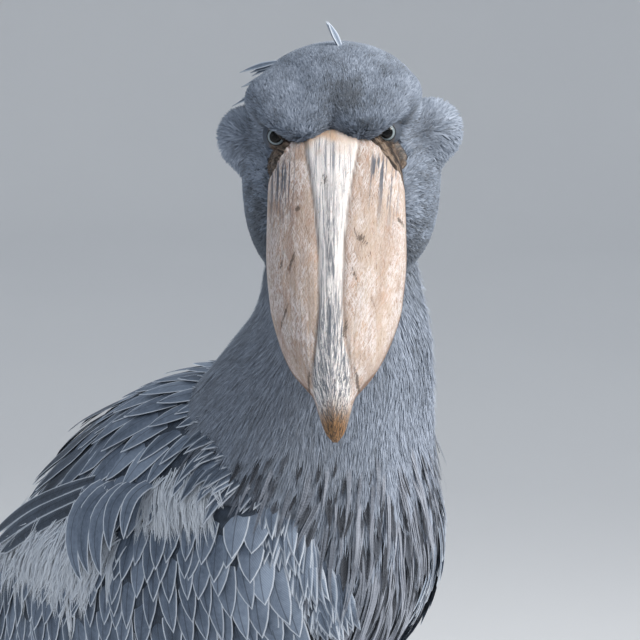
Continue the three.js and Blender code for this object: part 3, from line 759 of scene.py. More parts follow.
@dataclass(frozen=True)
class NakedSkin:
    """Skin: slate under the coat, bare wrinkled brown hide round the eyes, painted shade in creases and on upper
    lids.
    """

    name: str = "hide"
    brown: str = "#5b4a3c"
    pale: str = "#94887c"
    # The colour of the creases' low parts: painted shade.
    dark: str = "#1d1713"

    def make(self) -> bpy.types.Material:
        """The finish as a material."""
        material, tree, shader = new_material(self.name)
        tone, bare, lid_shadow = parts_of(tree, "tint")
        coords = add(tree, "TexCoord").outputs["Object"]
        patches = add(tree, "TexNoise", {"Vector": coords, "Scale": 90.0, "Detail": 6.0,
                                         "Roughness": 0.65}).outputs["Fac"]
        lean = add(tree, "Mapping", {"Vector": coords, "Rotation": (0.7, 0.3, 0.5),
                                     "Scale": (160.0, 520.0, 300.0)}).outputs["Vector"]
        creases = add(tree, "TexNoise", {"Vector": lean, "Scale": 1.0, "Detail": 5.0, "Roughness": 0.6,
                                         "Distortion": 1.2}).outputs["Fac"]
        coat = mixed(tree, tone, "#20262f", "#464f5c")
        # The crease noise also raises the bump below: the hide is painted darker in the creases' low parts and paler
        # on their crests, painted shade and light over its own brown.
        hide = add(tree, "ValToRGB", {"stops": [(0.3, self.dark), (0.5, self.brown), (0.72, self.pale)],
                                      "Fac": creases}).outputs["Color"]
        hide = mixed(tree, scaled(tree, patches, 0.45, 0.7, 0.0, 0.5), hide, "#6f7478")
        # Painted shadow: the upper lids turn near black where the brow shades them.
        colour = mixed(tree, lid_shadow, mixed(tree, bare, coat, hide), "#15161a")
        bump = add(tree, "Bump", {"Strength": 0.9, "Distance": 1.2 * MM, "Height": creases})
        feed(tree, shader, {"Base Color": colour, "Normal": bump.outputs["Normal"], "Roughness": 0.62})
        return material


@dataclass(frozen=True)
class Horn:
    """The bill's keratin: peeling cream and tan horn with dark growth streaks and a white ridge.

    It gives the eye crusty flakes, long scratches, a few spots, a semi-matt waxy gloss and painted shade on one side.
    """

    name: str
    cream: str = "#bfab9a"
    tan: str = "#9b7f71"
    white: str = "#dcd4d2"
    slate: str = "#4a5462"
    brown: str = "#6a4c38"
    nail: str = "#9c7650"

    def streaks(self, tree: bpy.types.NodeTree, long: float, wide: float, lean: float, seed: float,
                rough: float = 0.55) -> bpy.types.NodeSocket:
        """Noise drawn out along the bill.

        Args:
            tree: the material's nodes.
            long: length of a streak in millimetres.
            wide: its width.
            lean: degrees it leans to the side.
            seed: which noise.
            rough: how strongly its finer grain shows.

        Returns:
            The noise, from 0 to 1.
        """
        lay = add(tree, "Attribute", {"attribute_name": "lay"}).outputs["Vector"]
        turned = add(tree, "Mapping", {"Vector": lay, "Rotation": (0, 0, math.radians(lean)),
                                       "Location": (seed * 37, seed * 23, seed)})
        drawn = add(tree, "Mapping", {"Vector": turned.outputs["Vector"],
                                      "Scale": (1 / long, 1 / wide, 1 / (3 * wide))})
        values = {"Vector": drawn.outputs["Vector"], "Scale": 1.0, "Detail": 6.0, "Roughness": rough,
                  "Distortion": 0.5}
        return add(tree, "TexNoise", values).outputs["Fac"]

    def make(self) -> bpy.types.Material:
        """The finish as a material."""
        material, tree, shader = new_material(self.name)
        times = partial(math_of, tree, "MULTIPLY")
        ridge, nail, fan = parts_of(tree, "tint")
        edge, groove, root = parts_of(tree, "rim")
        along, across, _ = parts_of(tree, "lay")
        broad = self.streaks(tree, 62, 15, 6, 1)
        patchy = self.streaks(tree, 34, 15, -12, 2)
        # Painted shade: the horn turns tanner towards the bill's shaded side, where across falls below zero, over its
        # own tan streaks.
        tan_and_shade = math_of(tree, "ADD", scaled(tree, broad, 0.42, 0.66, 0.0, 0.55),
                        scaled(tree, across, 12, -12, 0.0, 0.26))
        body = mixed(tree, tan_and_shade, self.cream, self.tan)
        body = mixed(tree, scaled(tree, self.streaks(tree, 16, 9, 20, 12), 0.5, 0.7, 0.0, 0.5), body, "#c09a80")
        worn = scaled(tree, patchy, 0.4, 0.56, 0.25, 1.0)
        crust = self.streaks(tree, 5.5, 1.5, 24, 11, 0.8)
        body = mixed(tree, times(scaled(tree, crust, 0.49, 0.57, 0.0, 0.9), worn), body, self.white)
        cracks = self.streaks(tree, 15, 1.3, -14, 6, 0.75)
        body = mixed(tree, scaled(tree, cracks, 0.41, 0.37, 0.0, 0.9), body, self.brown)
        flakes = [self.streaks(tree, 17, 0.8, 27, 3, 0.7), self.streaks(tree, 20, 0.85, -24, 4, 0.7),
                  self.streaks(tree, 11, 0.6, 6, 5, 0.65)]
        for flake in flakes:
            body = mixed(tree, times(scaled(tree, flake, 0.545, 0.58, 0.0, 1.0), worn), body, self.white)
        pits = scaled(tree, self.streaks(tree, 12, 4.5, 10, 7, 0.65), 0.31, 0.25, 0.0, 0.9)
        body = mixed(tree, pits, body, self.slate)
        grain = self.streaks(tree, 2.0, 1.1, 8, 17, 0.6)
        body = mixed(tree, scaled(tree, grain, 0.55, 0.68, 0.0, 0.25), body, self.white)
        body = mixed(tree, scaled(tree, grain, 0.45, 0.32, 0.0, 0.25), body, self.brown)
        fans = times(scaled(tree, self.streaks(tree, 46, 2.3, 4, 8, 0.6), 0.52, 0.45), fan)
        body = mixed(tree, times(fans, 0.9), body, self.slate)
        body = mixed(tree, times(edge, 0.75), body, self.brown)
        fine, dash = self.streaks(tree, 44, 0.9, 0, 9, 0.65), self.streaks(tree, 30, 2.2, 0, 10, 0.65)
        aside = math_of(tree, "ABSOLUTE", across)
        middle = mixed(tree, scaled(tree, fine, 0.46, 0.41, 0.0, 0.85), "#f1ecea", "#868b96")
        middle = mixed(tree, scaled(tree, crust, 0.44, 0.36, 0.0, 0.6), middle, "#b7a090")
        blue = times(scaled(tree, aside, 4.5, 0.5), scaled(tree, dash, 0.58, 0.44))
        blue = math_of(tree, "MAXIMUM", blue, times(scaled(tree, dash, 0.4, 0.33), 0.8))
        middle = mixed(tree, times(blue, scaled(tree, along, 40, 90, 0.15, 0.85)), middle, self.slate)
        dense = times(scaled(tree, self.streaks(tree, 24, 1.0, 0, 18, 0.7), 0.54, 0.47),
                      scaled(tree, along, 105, 165, 0.0, 0.85))
        middle = mixed(tree, dense, middle, "#59616c")
        middle = mixed(tree, scaled(tree, root, 0.0, 1.0), middle,
                       mixed(tree, scaled(tree, patchy, 0.45, 0.6), "#cdb19a", "#dccbbf"))
        bound = scaled(tree, math_of(tree, "ADD", ridge, times(math_of(tree, "SUBTRACT", fine, 0.5), 1.3)), 0.3, 0.7)
        body = mixed(tree, bound, body, middle)
        body = mixed(tree, times(groove, scaled(tree, broad, 0.3, 0.6, 0.3, 0.8)), body, "#6d5f57")
        scar = math_of(tree, "MULTIPLY_ADD", math_of(tree, "SUBTRACT", crust, 0.5), 3.0, times(fan, -1.0))
        body = mixed(tree, times(scaled(tree, scar, 0.2, 0.5, 0.0, 0.85), scaled(tree, fan, -0.05, -0.2)), body,
                     "#55483f")
        folds = mixed(tree, scaled(tree, self.streaks(tree, 3.2, 14, 40, 13, 0.65), 0.42, 0.6), "#2a211b", "#8a7868")
        body = mixed(tree, scaled(tree, root, -0.25, -0.7), body, folds)
        tipped = mixed(tree, scaled(tree, fine, 0.56, 0.44, 0.0, 0.85), self.nail, "#2e2622")
        body = mixed(tree, nail, body, tipped)
        rise = math_of(tree, "ADD", math_of(tree, "ADD", flakes[0], flakes[1]),
                       math_of(tree, "MULTIPLY_ADD", fine, 0.7, crust))
        bump = add(tree, "Bump", {"Strength": 0.6, "Distance": 0.9 * MM, "Height": rise})
        feed(tree, shader, {"Base Color": body, "Normal": bump.outputs["Normal"],
                            "Roughness": scaled(tree, flakes[1], 0.35, 0.65, 0.46, 0.7), "Specular IOR Level": 0.35,
                            "Subsurface Weight": 0.05, "Subsurface Scale": 0.003})
        return material


@dataclass(frozen=True)
class EyeGlass:
    """A bird's eye: pale grey iris round a wide black pupil, under a wet clear cornea."""

    name: str = "eye_wet"
    pupil_deg: float = 25
    iris_deg: float = 40

    def make(self) -> bpy.types.Material:
        """The finish as a material."""
        material, tree, shader = new_material(self.name)
        polar, turn, _ = parts_of(tree, "lay")
        rays = add(tree, "CombineXYZ", {0: math_of(tree, "MULTIPLY", turn, 7.0),
                                        1: math_of(tree, "MULTIPLY", polar, 0.06)})
        threads = add(tree, "TexNoise", {"Vector": rays.outputs[0], "Scale": 1.0, "Detail": 5.0}).outputs["Fac"]
        iris = mixed(tree, threads, "#626e75", "#9eaaae")
        shade = mixed(tree, scaled(tree, polar, self.iris_deg - 8, self.iris_deg), iris, "#33363a")
        white = mixed(tree, scaled(tree, polar, self.iris_deg - 0.5, self.iris_deg + 1.5), shade, "#2b231d")
        colour = mixed(tree, scaled(tree, polar, self.pupil_deg + 0.8, self.pupil_deg - 0.8), white, "#050607")
        feed(tree, shader, {"Base Color": colour, "Roughness": 0.5, "Specular IOR Level": 0.05, "Coat Weight": 0.8,
                            "Coat Roughness": 0.02, "Coat IOR": 1.34})
        return material


@dataclass(frozen=True)
class Scutes:
    """Scaled leg skin: small raised dark plates with paler seams, dry and slightly waxy."""

    name: str = "leg_scutes"
    plate: str = "#33363b"
    seam: str = "#6a6a68"
    plate_mm: float = 4.2

    def make(self) -> bpy.types.Material:
        """The finish as a material."""
        material, tree, shader = new_material(self.name)
        lay = add(tree, "Attribute", {"attribute_name": "lay"}).outputs["Vector"]
        flat = add(tree, "Mapping", {"Vector": lay, "Scale": (1.0, 0.72, 1.0)}).outputs["Vector"]
        cells = {"Vector": flat, "Scale": 1 / self.plate_mm, "Randomness": 0.55}
        gap = add(tree, "TexVoronoi", {"feature": "DISTANCE_TO_EDGE", **cells}).outputs["Distance"]
        each = add(tree, "TexVoronoi", cells).outputs["Color"]
        worn = add(tree, "TexNoise", {"Vector": lay, "Scale": 0.2, "Detail": 6.0}).outputs["Fac"]
        plate = mixed(tree, scaled(tree, worn, 0.35, 0.7), self.plate, "#55585c")
        plate = mixed(tree, 0.12, plate, each, "OVERLAY")
        colour = mixed(tree, scaled(tree, gap, 0.11, 0.03), plate, self.seam)
        raised = scaled(tree, gap, 0.0, 0.22)
        bump = add(tree, "Bump", {"Strength": 0.9, "Distance": 0.7 * MM, "Height": raised})
        feed(tree, shader, {"Base Color": colour, "Normal": bump.outputs["Normal"], "Roughness": 0.55})
        return material


@dataclass(frozen=True)
class ClawHorn:
    """A claw's dense horn: near black, polished by the ground, with faint growth lines."""

    name: str = "claw_horn"

    def make(self) -> bpy.types.Material:
        """The finish as a material."""
        material, tree, shader = new_material(self.name)
        lay = add(tree, "Attribute", {"attribute_name": "lay"}).outputs["Vector"]
        lines = add(tree, "Mapping", {"Vector": lay, "Scale": (0.08, 0.9, 1.0)}).outputs["Vector"]
        grain = add(tree, "TexNoise", {"Vector": lines, "Scale": 1.0, "Detail": 5.0}).outputs["Fac"]
        colour = mixed(tree, scaled(tree, grain, 0.35, 0.7), "#17181a", "#4a4640")
        bump = add(tree, "Bump", {"Strength": 0.4, "Distance": 0.3 * MM, "Height": grain})
        feed(tree, shader, {"Base Color": colour, "Normal": bump.outputs["Normal"], "Roughness": 0.32})
        return material


@dataclass(frozen=True)
class StudioPaper:
    """Pale matt background paper, without a seam or grain that shows."""

    name: str = "studio_paper"

    def make(self) -> bpy.types.Material:
        """The finish as a material."""
        material, tree, shader = new_material(self.name)
        coords = add(tree, "TexCoord").outputs["Object"]
        cloud = add(tree, "TexNoise", {"Vector": coords, "Scale": 0.6, "Detail": 2.0}).outputs["Fac"]
        feed(tree, shader, {"Base Color": mixed(tree, cloud, "#e3e4e6", "#e9eaeb"), "Roughness": 0.9})
        return material


def warped_ball(name: str, shift: Array, rings: int, sides: int, move: Callable[[Array, Array], Array],
                lay: Optional[Callable[[Array, Array], Array]] = None,
                tint: Optional[Callable[[Array, Array], Array]] = None,
                rim: Optional[Callable[[Array, Array], Array]] = None) -> bpy.types.Object:
    """A closed form made from a ball, whose points know their share from pole to pole and their turn.

    Args:
        name: the piece's name.
        shift: from the bird's frame to the row's, in millimetres.
        rings: rows from pole to pole.
        sides: points round each ring.
        move: gives each point its place from its share and its turn in radians.
        lay: gives the pattern's coordinates the same way, or none.
        tint: gives the pattern's shares the same way, or none.
        rim: gives further shares the same way, or none.

    Returns:
        The object, in metres in the row's frame.
    """
    form = bmesh.new()
    bmesh.ops.create_uvsphere(form, u_segments=sides, v_segments=rings, radius=1)
    ball = np.array([v.co[:] for v in form.verts])
    share = np.arccos(np.clip(ball[:, 2], -1, 1)) / math.pi
    turn = np.arctan2(ball[:, 1], ball[:, 0])
    for vertex, spot in zip(form.verts, (move(share, turn) + shift) * MM):
        vertex.co = spot
    bmesh.ops.recalc_face_normals(form, faces=form.faces)
    mesh = mesh_of(name, form)
    kept = {"lay": lay, "tint": tint, "rim": rim}
    marked(mesh, **{key: rows(share, turn) for key, rows in kept.items() if rows is not None})
    return linked(name, mesh)


def tube_points(limb: Limb, share: Array, turn: Array) -> Array:
    """Points on a limb's skin at shares of its length and turns round it."""
    line = limb.points()
    at = np.linspace(0, 1, len(line))
    spot = np.stack([np.interp(share, at, line[:, k]) for k in range(3)], -1)
    heading = np.gradient(line, axis=0)
    way = unit(np.stack([np.interp(share, at, heading[:, k]) for k in range(3)], -1))
    side = unit(np.array([1.0, 0, 0]) - way * way[:, :1])
    front = np.cross(way, side)
    ends = domed(share, 0.03)
    size = (limb.radius(share) * ends)[:, None]
    return spot + side * np.cos(turn)[:, None] * size + front * np.sin(turn)[:, None] * size


class Builder:
    """What every sub-assembly needs: the forms, the frame's shift, the finishes and the chance."""

    def __init__(self) -> None:
        """Sets out the bird's forms and finishes."""
        self.body = Body()
        self.head = Head()
        neck = ((2, -62, 770), (3, -114, 842), (2, -142, 905), (-1, -147, 960), (-3, -146, 1010), (0, -141, 1062))
        self.neck = Limb(neck, Curve([(0, 92), (0.25, 91), (0.46, 74), (0.63, 61), (0.8, 54), (1, 52)]))
        thigh = ((50, -16, 645), (58, 8, 470), (62, 22, 345))
        self.thigh = Limb(thigh, Curve([(0, 40), (0.35, 38), (0.75, 23), (1, 15.5)]), steps=12)
        self.flesh = Flesh(self.body, self.head, self.neck, self.thigh)
        self.markings = Markings(self.head)
        self.unwrap = Unwrap(self.body, self.neck)
        low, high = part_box("eye_right")
        x, y, z = self.head.eye
        eye = self.head.posed(np.array([[-x, y, z]], float))[0]
        self.shift = np.array((low + high) / 2) / MM - eye
        self.vanes = Plumage("slate_vanes").make()
        self.plush = Plumage("plush_down", dark="#20262e", mid="#4d5a6b", pale="#a7b2c4", edge="#bcc5d1", rough=0.85,
                             sheen=0.2, barb_mm=3.0, tip_pale=0.2).make()
        self.soft = Plumage("loose_plumes", dark="#23272e", mid="#5f6672", pale="#a9afbb", edge="#bfc4cb", rough=0.8,
                            sheen=0.2).make()
        self.down = Plumage("white_down", dark="#7d8897", mid="#b4bfcd", pale="#e2e8ef", edge="#eef2f6", rough=0.9,
                            sheen=0.3).make()
        self.hide = NakedSkin().make()
        self.scutes = Scutes().make()
        self.claw = ClawHorn().make()

    def rng(self, salt: int) -> np.random.Generator:
        """A seeded source of chance for one job."""
        return np.random.default_rng(SEED + salt)

    def sheet(self) -> Sheet:
        """An empty sheet of feathers."""
        return Sheet(self.unwrap, self.shift)

    def over_body(self, t: Array, around: Array, heading: Callable[[float], Array], length: Array,
                  height: Callable[[float, Array, Array], Array], steps: int) -> tuple[Array, Array]:
        """Routes over the body's envelope.

        Args:
            t: where each root is along the body.
            around: its angle from the spine, in degrees.
            heading: degrees from straight back to straight down at a share of the feather.
            length: each feather's length.
            height: how far out it lies at a share, t and angle.
            steps: how many steps a route takes.

        Returns:
            The spots and the outward directions, feather by feather.
        """
        t, angle = np.array(t, float), np.radians(np.array(around, float))
        spots, outs = [], []
        for i in range(steps + 1):
            out, spot = self.body.out(t, angle), self.body.on(t, angle)
            outs.append(out)
            spots.append(spot + out * np.asarray(height(i / steps, t, np.degrees(angle)))[..., None])
            back = np.linalg.norm(self.body.on(t + 0.003, angle) - spot, axis=-1) / 0.003
            down = np.linalg.norm(self.body.on(t, angle + 0.01) - spot, axis=-1) / 0.01
            turn = np.radians(heading(i / steps))
            t = t + length / steps * np.cos(turn) / back
            angle = angle + length / steps * np.sin(turn) / down
        return np.stack(spots, 1), np.stack(outs, 1)

    def over_flesh(self, roots: Array, lie: Callable[[Array, Array], Array], length: Array,
                   lift: Callable[[float], Array], steps: int) -> tuple[Array, Array]:
        """Routes over the bare form, following the lie of the coat.

        Args:
            roots: where the feathers start, near the form.
            lie: directions at points with outward directions.
            length: each feather's length.
            lift: how far out it lies at a share.
            steps: how many steps a route takes.

        Returns:
            The spots and the outward directions, feather by feather.
        """
        spots, outs = [], []
        p, out = self.flesh.settle(roots, 0.0)
        for i in range(steps + 1):
            spots.append(p + out * np.reshape(lift(i / steps), (-1, 1)))
            outs.append(out)
            way = lie(p, out)
            way = unit(way - out * (way * out).sum(-1, keepdims=True))
            p, out = self.flesh.settle(p + way * (length / steps)[:, None], 0.0, rounds=1)
        return np.stack(spots, 1), np.stack(outs, 1)


@dataclass
class Skin:
    """The one skin under the coat, from crown to thighs."""

    b: Builder
    voxel: float = 3.2 * MM

    def rough(self) -> bpy.types.Object:
        """Balls and tubes that together fill the form."""
        b = self.b
        parts = []

        def torso(share: Array, turn: Array) -> Array:
            """The body's envelope, closed at the rump."""
            t = share * b.body.end
            past = np.maximum((t - b.body.close_from) / (b.body.end - b.body.close_from), 0)
            cap = np.sqrt(np.clip(1 - past**2, 0, 1))[:, None]
            return b.body.centre(t) + (b.body.on(t, turn) - b.body.centre(t)) * cap

        parts.append(warped_ball("rough_torso", b.shift, 60, 48, torso))
        parts.append(warped_ball("rough_neck", b.shift, 60, 40, lambda s, a: tube_points(b.neck, s, a)))
        for side in Side:
            flip = side.flip
            parts.append(warped_ball("rough_thigh", b.shift, 40, 32, lambda s, a: tube_points(b.thigh, s, a) * flip))

        def skull(share: Array, turn: Array) -> Array:
            """The head's form along rays from its middle."""
            ray = rows_of(np.sin(share * math.pi) * np.cos(turn), np.sin(share * math.pi) * np.sin(turn),
                          np.cos(share * math.pi))
            way = b.head.turned(ray)
            middle = b.head.posed(np.array([[0, -12, -16.0]]))[0]
            low, high = np.full(len(ray), 5.0), np.full(len(ray), 170.0)
            for _ in range(18):
                mid = (low + high) / 2
                inside = b.head.distance(middle + way * mid[:, None]) < 0
                low, high = np.where(inside, mid, low), np.where(inside, high, mid)
            return middle + way * low[:, None]

        parts.append(warped_ball("rough_head", b.shift, 64, 64, skull))
        bpy.ops.object.select_all(action="DESELECT")
        for part in parts:
            part.select_set(True)
        bpy.context.view_layer.objects.active = parts[0]
        bpy.ops.object.join()
        return parts[0]

    def build(self) -> bpy.types.Object:
        """The skin, settled under the coat's depth and dressed."""
        b = self.b
        rough = self.rough()
        remesh = rough.modifiers.new("even", "REMESH")
        remesh.mode, remesh.voxel_size = "VOXEL", self.voxel
        evaluated = rough.evaluated_get(bpy.context.evaluated_depsgraph_get())
        mesh = bpy.data.meshes.new_from_object(evaluated)
        bpy.data.objects.remove(rough)
        form = bmesh.new()
        form.from_mesh(mesh)
        spots = np.array([v.co[:] for v in form.verts]) / MM - b.shift
        face = smooth(110, 90, np.linalg.norm(b.head.local(spots) - np.array([0, -40, -20]), axis=1)) > 0.5
        near = [e for e in form.edges if face[e.verts[0].index] and face[e.verts[1].index]]
        bmesh.ops.subdivide_edges(form, edges=near, cuts=1, use_grid_fill=True)
        bmesh.ops.triangulate(form, faces=[f for f in form.faces if len(f.verts) > 4])
        form.to_mesh(mesh)
        form.free()
        spots = np.empty(len(mesh.vertices) * 3)
        mesh.vertices.foreach_get("co", spots)
        spots = spots.reshape(-1, 3) / MM - b.shift
        level = self.level(spots)
        spots, _ = b.flesh.settle(spots, level, rounds=3)
        spots = spots + self.creases(spots)
        mesh.vertices.foreach_set("co", ((spots + b.shift) * MM).ravel())
        mesh.update()
        mesh.name = "skin"
        mesh.shade_smooth()
        marked(mesh, tint=rows_of(b.markings.tone(spots), b.markings.bare(spots), 0))
        self.faces(mesh, spots)
        skin = linked("skin", mesh)
        return finish_piece(skin, b.hide, "plumage", "torso", "neck", "head", "thigh_left", "thigh_right")

    def level(self, p: Array) -> Array:
        """How deep the skin lies under the form, from near nothing on the lores to a plume's depth."""
        b = self.b
        on_head = smooth(60, 10, b.head.distance(p))
        deep = smooth(1000, 860, p[:, 2])
        legs = smooth(520, 400, p[:, 2])
        hidden = -(3.0 + 5.0 * deep * (1 - on_head) * (1 - 0.6 * legs))
        return hidden * (1 - 0.85 * b.markings.bare(p))

    def creases(self, p: Array) -> Array:
        """Folds in the bare skin under and round the eye."""
        b = self.b
        q = b.head.local(p)
        x = np.abs(q[:, 0])
        fold = np.sin((q[:, 2] * 0.9 + x * 0.5 + 2.2 * ripple(q, 14, 9)) * 1.15)
        way = b.head.turned(rows_of(np.sign(q[:, 0]) * 0.6, 0 * x - 0.5, 0 * x + 0.4))
        return way * (fold * b.markings.bare(p) * 0.7)[:, None]

    def faces(self, mesh: bpy.types.Mesh, spots: Array) -> None:
        """Keeps the skin's triangles for the coat to root in."""
        mesh.calc_loop_triangles()
        corners = np.empty(len(mesh.loop_triangles) * 3, np.int32)
        mesh.loop_triangles.foreach_get("vertices", corners)
        self.tris = spots[corners.reshape(-1, 3)]
        edges = np.cross(self.tris[:, 1] - self.tris[:, 0], self.tris[:, 2] - self.tris[:, 0])
        self.areas = np.linalg.norm(edges, axis=1) / 2

    def roots(self, count: int, weight: Callable[[Array], Array], rng: np.random.Generator) -> Array:
        """Chance points on the skin.

        Args:
            count: how many.
            weight: how thickly they stand at the triangles' middles.
            rng: the source of chance.

        Returns:
            The points.
        """
        middles = self.tris.mean(1)
        share = self.areas * np.maximum(weight(middles), 0)
        pick = rng.choice(len(share), size=count, p=share / share.sum())
        a, b = rng.random((2, count, 1))
        turn = (a + b) > 1
        a, b = np.where(turn, 1 - a, a), np.where(turn, 1 - b, b)
        tri = self.tris[pick]
        return tri[:, 0] + a * (tri[:, 1] - tri[:, 0]) + b * (tri[:, 2] - tri[:, 0])

    def spaced(self, gap: float, weight: Callable[[Array], Array], rng: np.random.Generator, tries: int) -> Array:
        """Points on the skin that keep their distance from each other.

        Args:
            gap: the least distance between two.
            weight: 0 where none stand; less than 1 thins them out.
            rng: the source of chance.
            tries: how many points to try.

        Returns:
            The points that were kept.
        """
        pool = self.roots(tries, weight, rng)
        tree = kdtree.KDTree(len(pool))
        for i, p in enumerate(pool):
            tree.insert(p, i)
        tree.balance()
        kept = np.ones(len(pool), bool)
        for i, p in enumerate(pool):
            if kept[i]:
                for _, j, _ in tree.find_range(p, gap):
                    if j > i:
                        kept[j] = False
        return pool[kept]


def downward(p: Array, out: Array) -> Array:
    """The lie of the body's coat: down the breast, back along the belly and the back."""
    back = 0.16 + 0.95 * np.clip(out[..., 2], 0, 1) + 0.5 * smooth(760, 640, p[..., 2])
    return rows_of(0.08 * np.sign(p[..., 0]) * np.clip(-out[..., 1], 0, 1), back, -np.ones_like(back))


@dataclass
class HeadCoat:
    """The plush of the head: short overlapping tufts, longer on the lumps of the cheeks."""

    b: Builder
    skin: Skin
    tufts: int = 45000

    def on_head(self, p: Array) -> Array:
        """1 on the head's coat, 0 off it and on bare skin, and fewer where the neck's coat takes over."""
        b = self.b
        near = smooth(8, -3, b.head.distance(p))
        return near * (b.markings.bare(p) < 0.45) * (1 - self.under_bill(p))

    def under_bill(self, p: Array) -> Array:
        """1 inside the bill, where no feather roots."""
        q = self.b.head.local(p)
        x = np.abs(q[:, 0])
        inside = (x < 42) & (q[:, 1] < -52) & (q[:, 2] < 14 - 0.1 * x) & (q[:, 2] > -52)
        return inside.astype(float)

    def lump(self, p: Array) -> Array:
        """1 in the middle of the lumps behind the cheeks."""
        q = self.b.head.local(p)
        return np.exp(-(((np.abs(q[:, 0]) - 74) / 17) ** 2) - ((q[:, 1] + 16) / 26) ** 2 - ((q[:, 2] + 33) / 24) ** 2)

    def lie(self, p: Array, out: Array) -> Array:
        """Back over the crown, down and back on the cheeks, and outwards on the lumps."""
        q = self.b.head.local(p)
        low = smooth(16, -30, q[..., 2])
        side = np.sign(q[..., 0]) * smooth(10, 40, np.abs(q[..., 0]))
        swirl = 0.26 * ripple(q, 26, 12) + 0.12 * ripple(q, 9, 13)
        way = rows_of(side * 0.35 * (1 - low) + swirl, 1 - 0.62 * low + 0 * side, -0.16 - 0.9 * low)
        return self.b.head.turned(way)

    def build(self) -> None:
        """Grows and dresses the plush."""
        b = self.b
        for name, lower, salt in (("crown_plush", False, 21), ("cheek_plush", True, 22)):
            rng = b.rng(salt)

            def weight(p: Array) -> Array:
                """The share of tufts at a place, for the crown or for the cheeks."""
                share = smooth(4, -4, b.head.local(p)[:, 2])
                return self.on_head(p) * (share if lower else 1 - share)

            count = self.tufts
            roots = self.skin.roots(count, weight, rng)
            q = b.head.local(roots)
            lump = self.lump(roots)
            front = smooth(-40, -60, q[:, 1]) * smooth(0, 10, q[:, 2])
            length = (7.5 + 9.0 * lump + 3.0 * smooth(0, 30, q[:, 1]) - 2.2 * front) * rng.uniform(0.7, 1.3, count)
            half = (0.85 + 0.2 * lump + 0.15 * lower) * rng.uniform(0.7, 1.3, count)
            rise = rng.uniform(0.3, 1.5, count) * (1 + 3.6 * lump)
            turn = rng.normal(0, 0.22, count)[:, None]

            def lie(p: Array, out: Array) -> Array:
                """The lie of the plush with each tuft's own lean."""
                way = self.lie(p, out)
                return way + turn * np.cross(out, way)

            spots, outs = b.over_flesh(roots, lie, length, lambda u: -2.6 + (2.4 + rise) * u**0.8, 2)
            tone = b.markings.tone(roots) + (0.12 * ripple(q, 8, 17) + 0.07 * ripple(q, 4, 14)) * (1 - 0.7 * lump)
            tone = np.clip(tone + 0.12 * lump + rng.normal(0, 0.12, count), 0, 1)
            tint = rows_of(tone, rng.uniform(0, 0.5, count) * smooth(0, 0.5, tone), 0)
            sheet = b.sheet()
            sheet.grow(Routes(spots, outs, half, tint), TUFT_CUT, rng, soft=0.72)
            finish_piece(sheet.make(name, soft_normals=True), b.plush, "crown")


@dataclass
class Crest:
    """The loose feathers at the back of the crown."""

    b: Builder
    lances: tuple = (((-40, 12, 24), (-67, 18, -3), 4.2), ((-44, 6, 18), (-73, 12, -12), 4.2),
                     ((-46, 2, 8), (-77, 4, -18), 3.6))
    spike: tuple = ((7, 16, 30), (-5, 34, 42), 3.4)

    def build(self) -> None:
        """Grows and dresses the crest."""
        b = self.b
        rng = b.rng(31)
        spots, outs, half, tint = [], [], [], []
        for root, tip, width in (*self.lances, self.spike):
            pale = (root, tip, width) == self.spike
            for i in range(3):
                wander = rng.normal(0, 2.2, 3) * (i > 0)
                a, c = np.array(root) + wander * 0.5, np.array(tip) + wander * (1.4 if not pale else 0.6)
                out = unit(a - np.array([0, -12, -16.0]))
                u = np.linspace(0, 1, 8)[:, None]
                line = a + (c - a) * u * rng.uniform(0.8, 1.0) + out * (5.5 * u * (1 - u) - 2.5 * (1 - u))
                spots.append(b.head.posed(line))
                outs.append(np.repeat(b.head.turned(out)[None], 8, 0))
                half.append(width * rng.uniform(0.55, 1.0))
                tint.append((0.85, 0.8, 0.6) if pale else (rng.uniform(0.5, 0.8), 0.35, 0.6))
        sheet = b.sheet()
        sheet.grow(Routes(np.array(spots), np.array(outs), np.array(half), np.array(tint)), LANCE_CUT, rng)
        finish_piece(sheet.make("crest"), b.vanes, "crown")


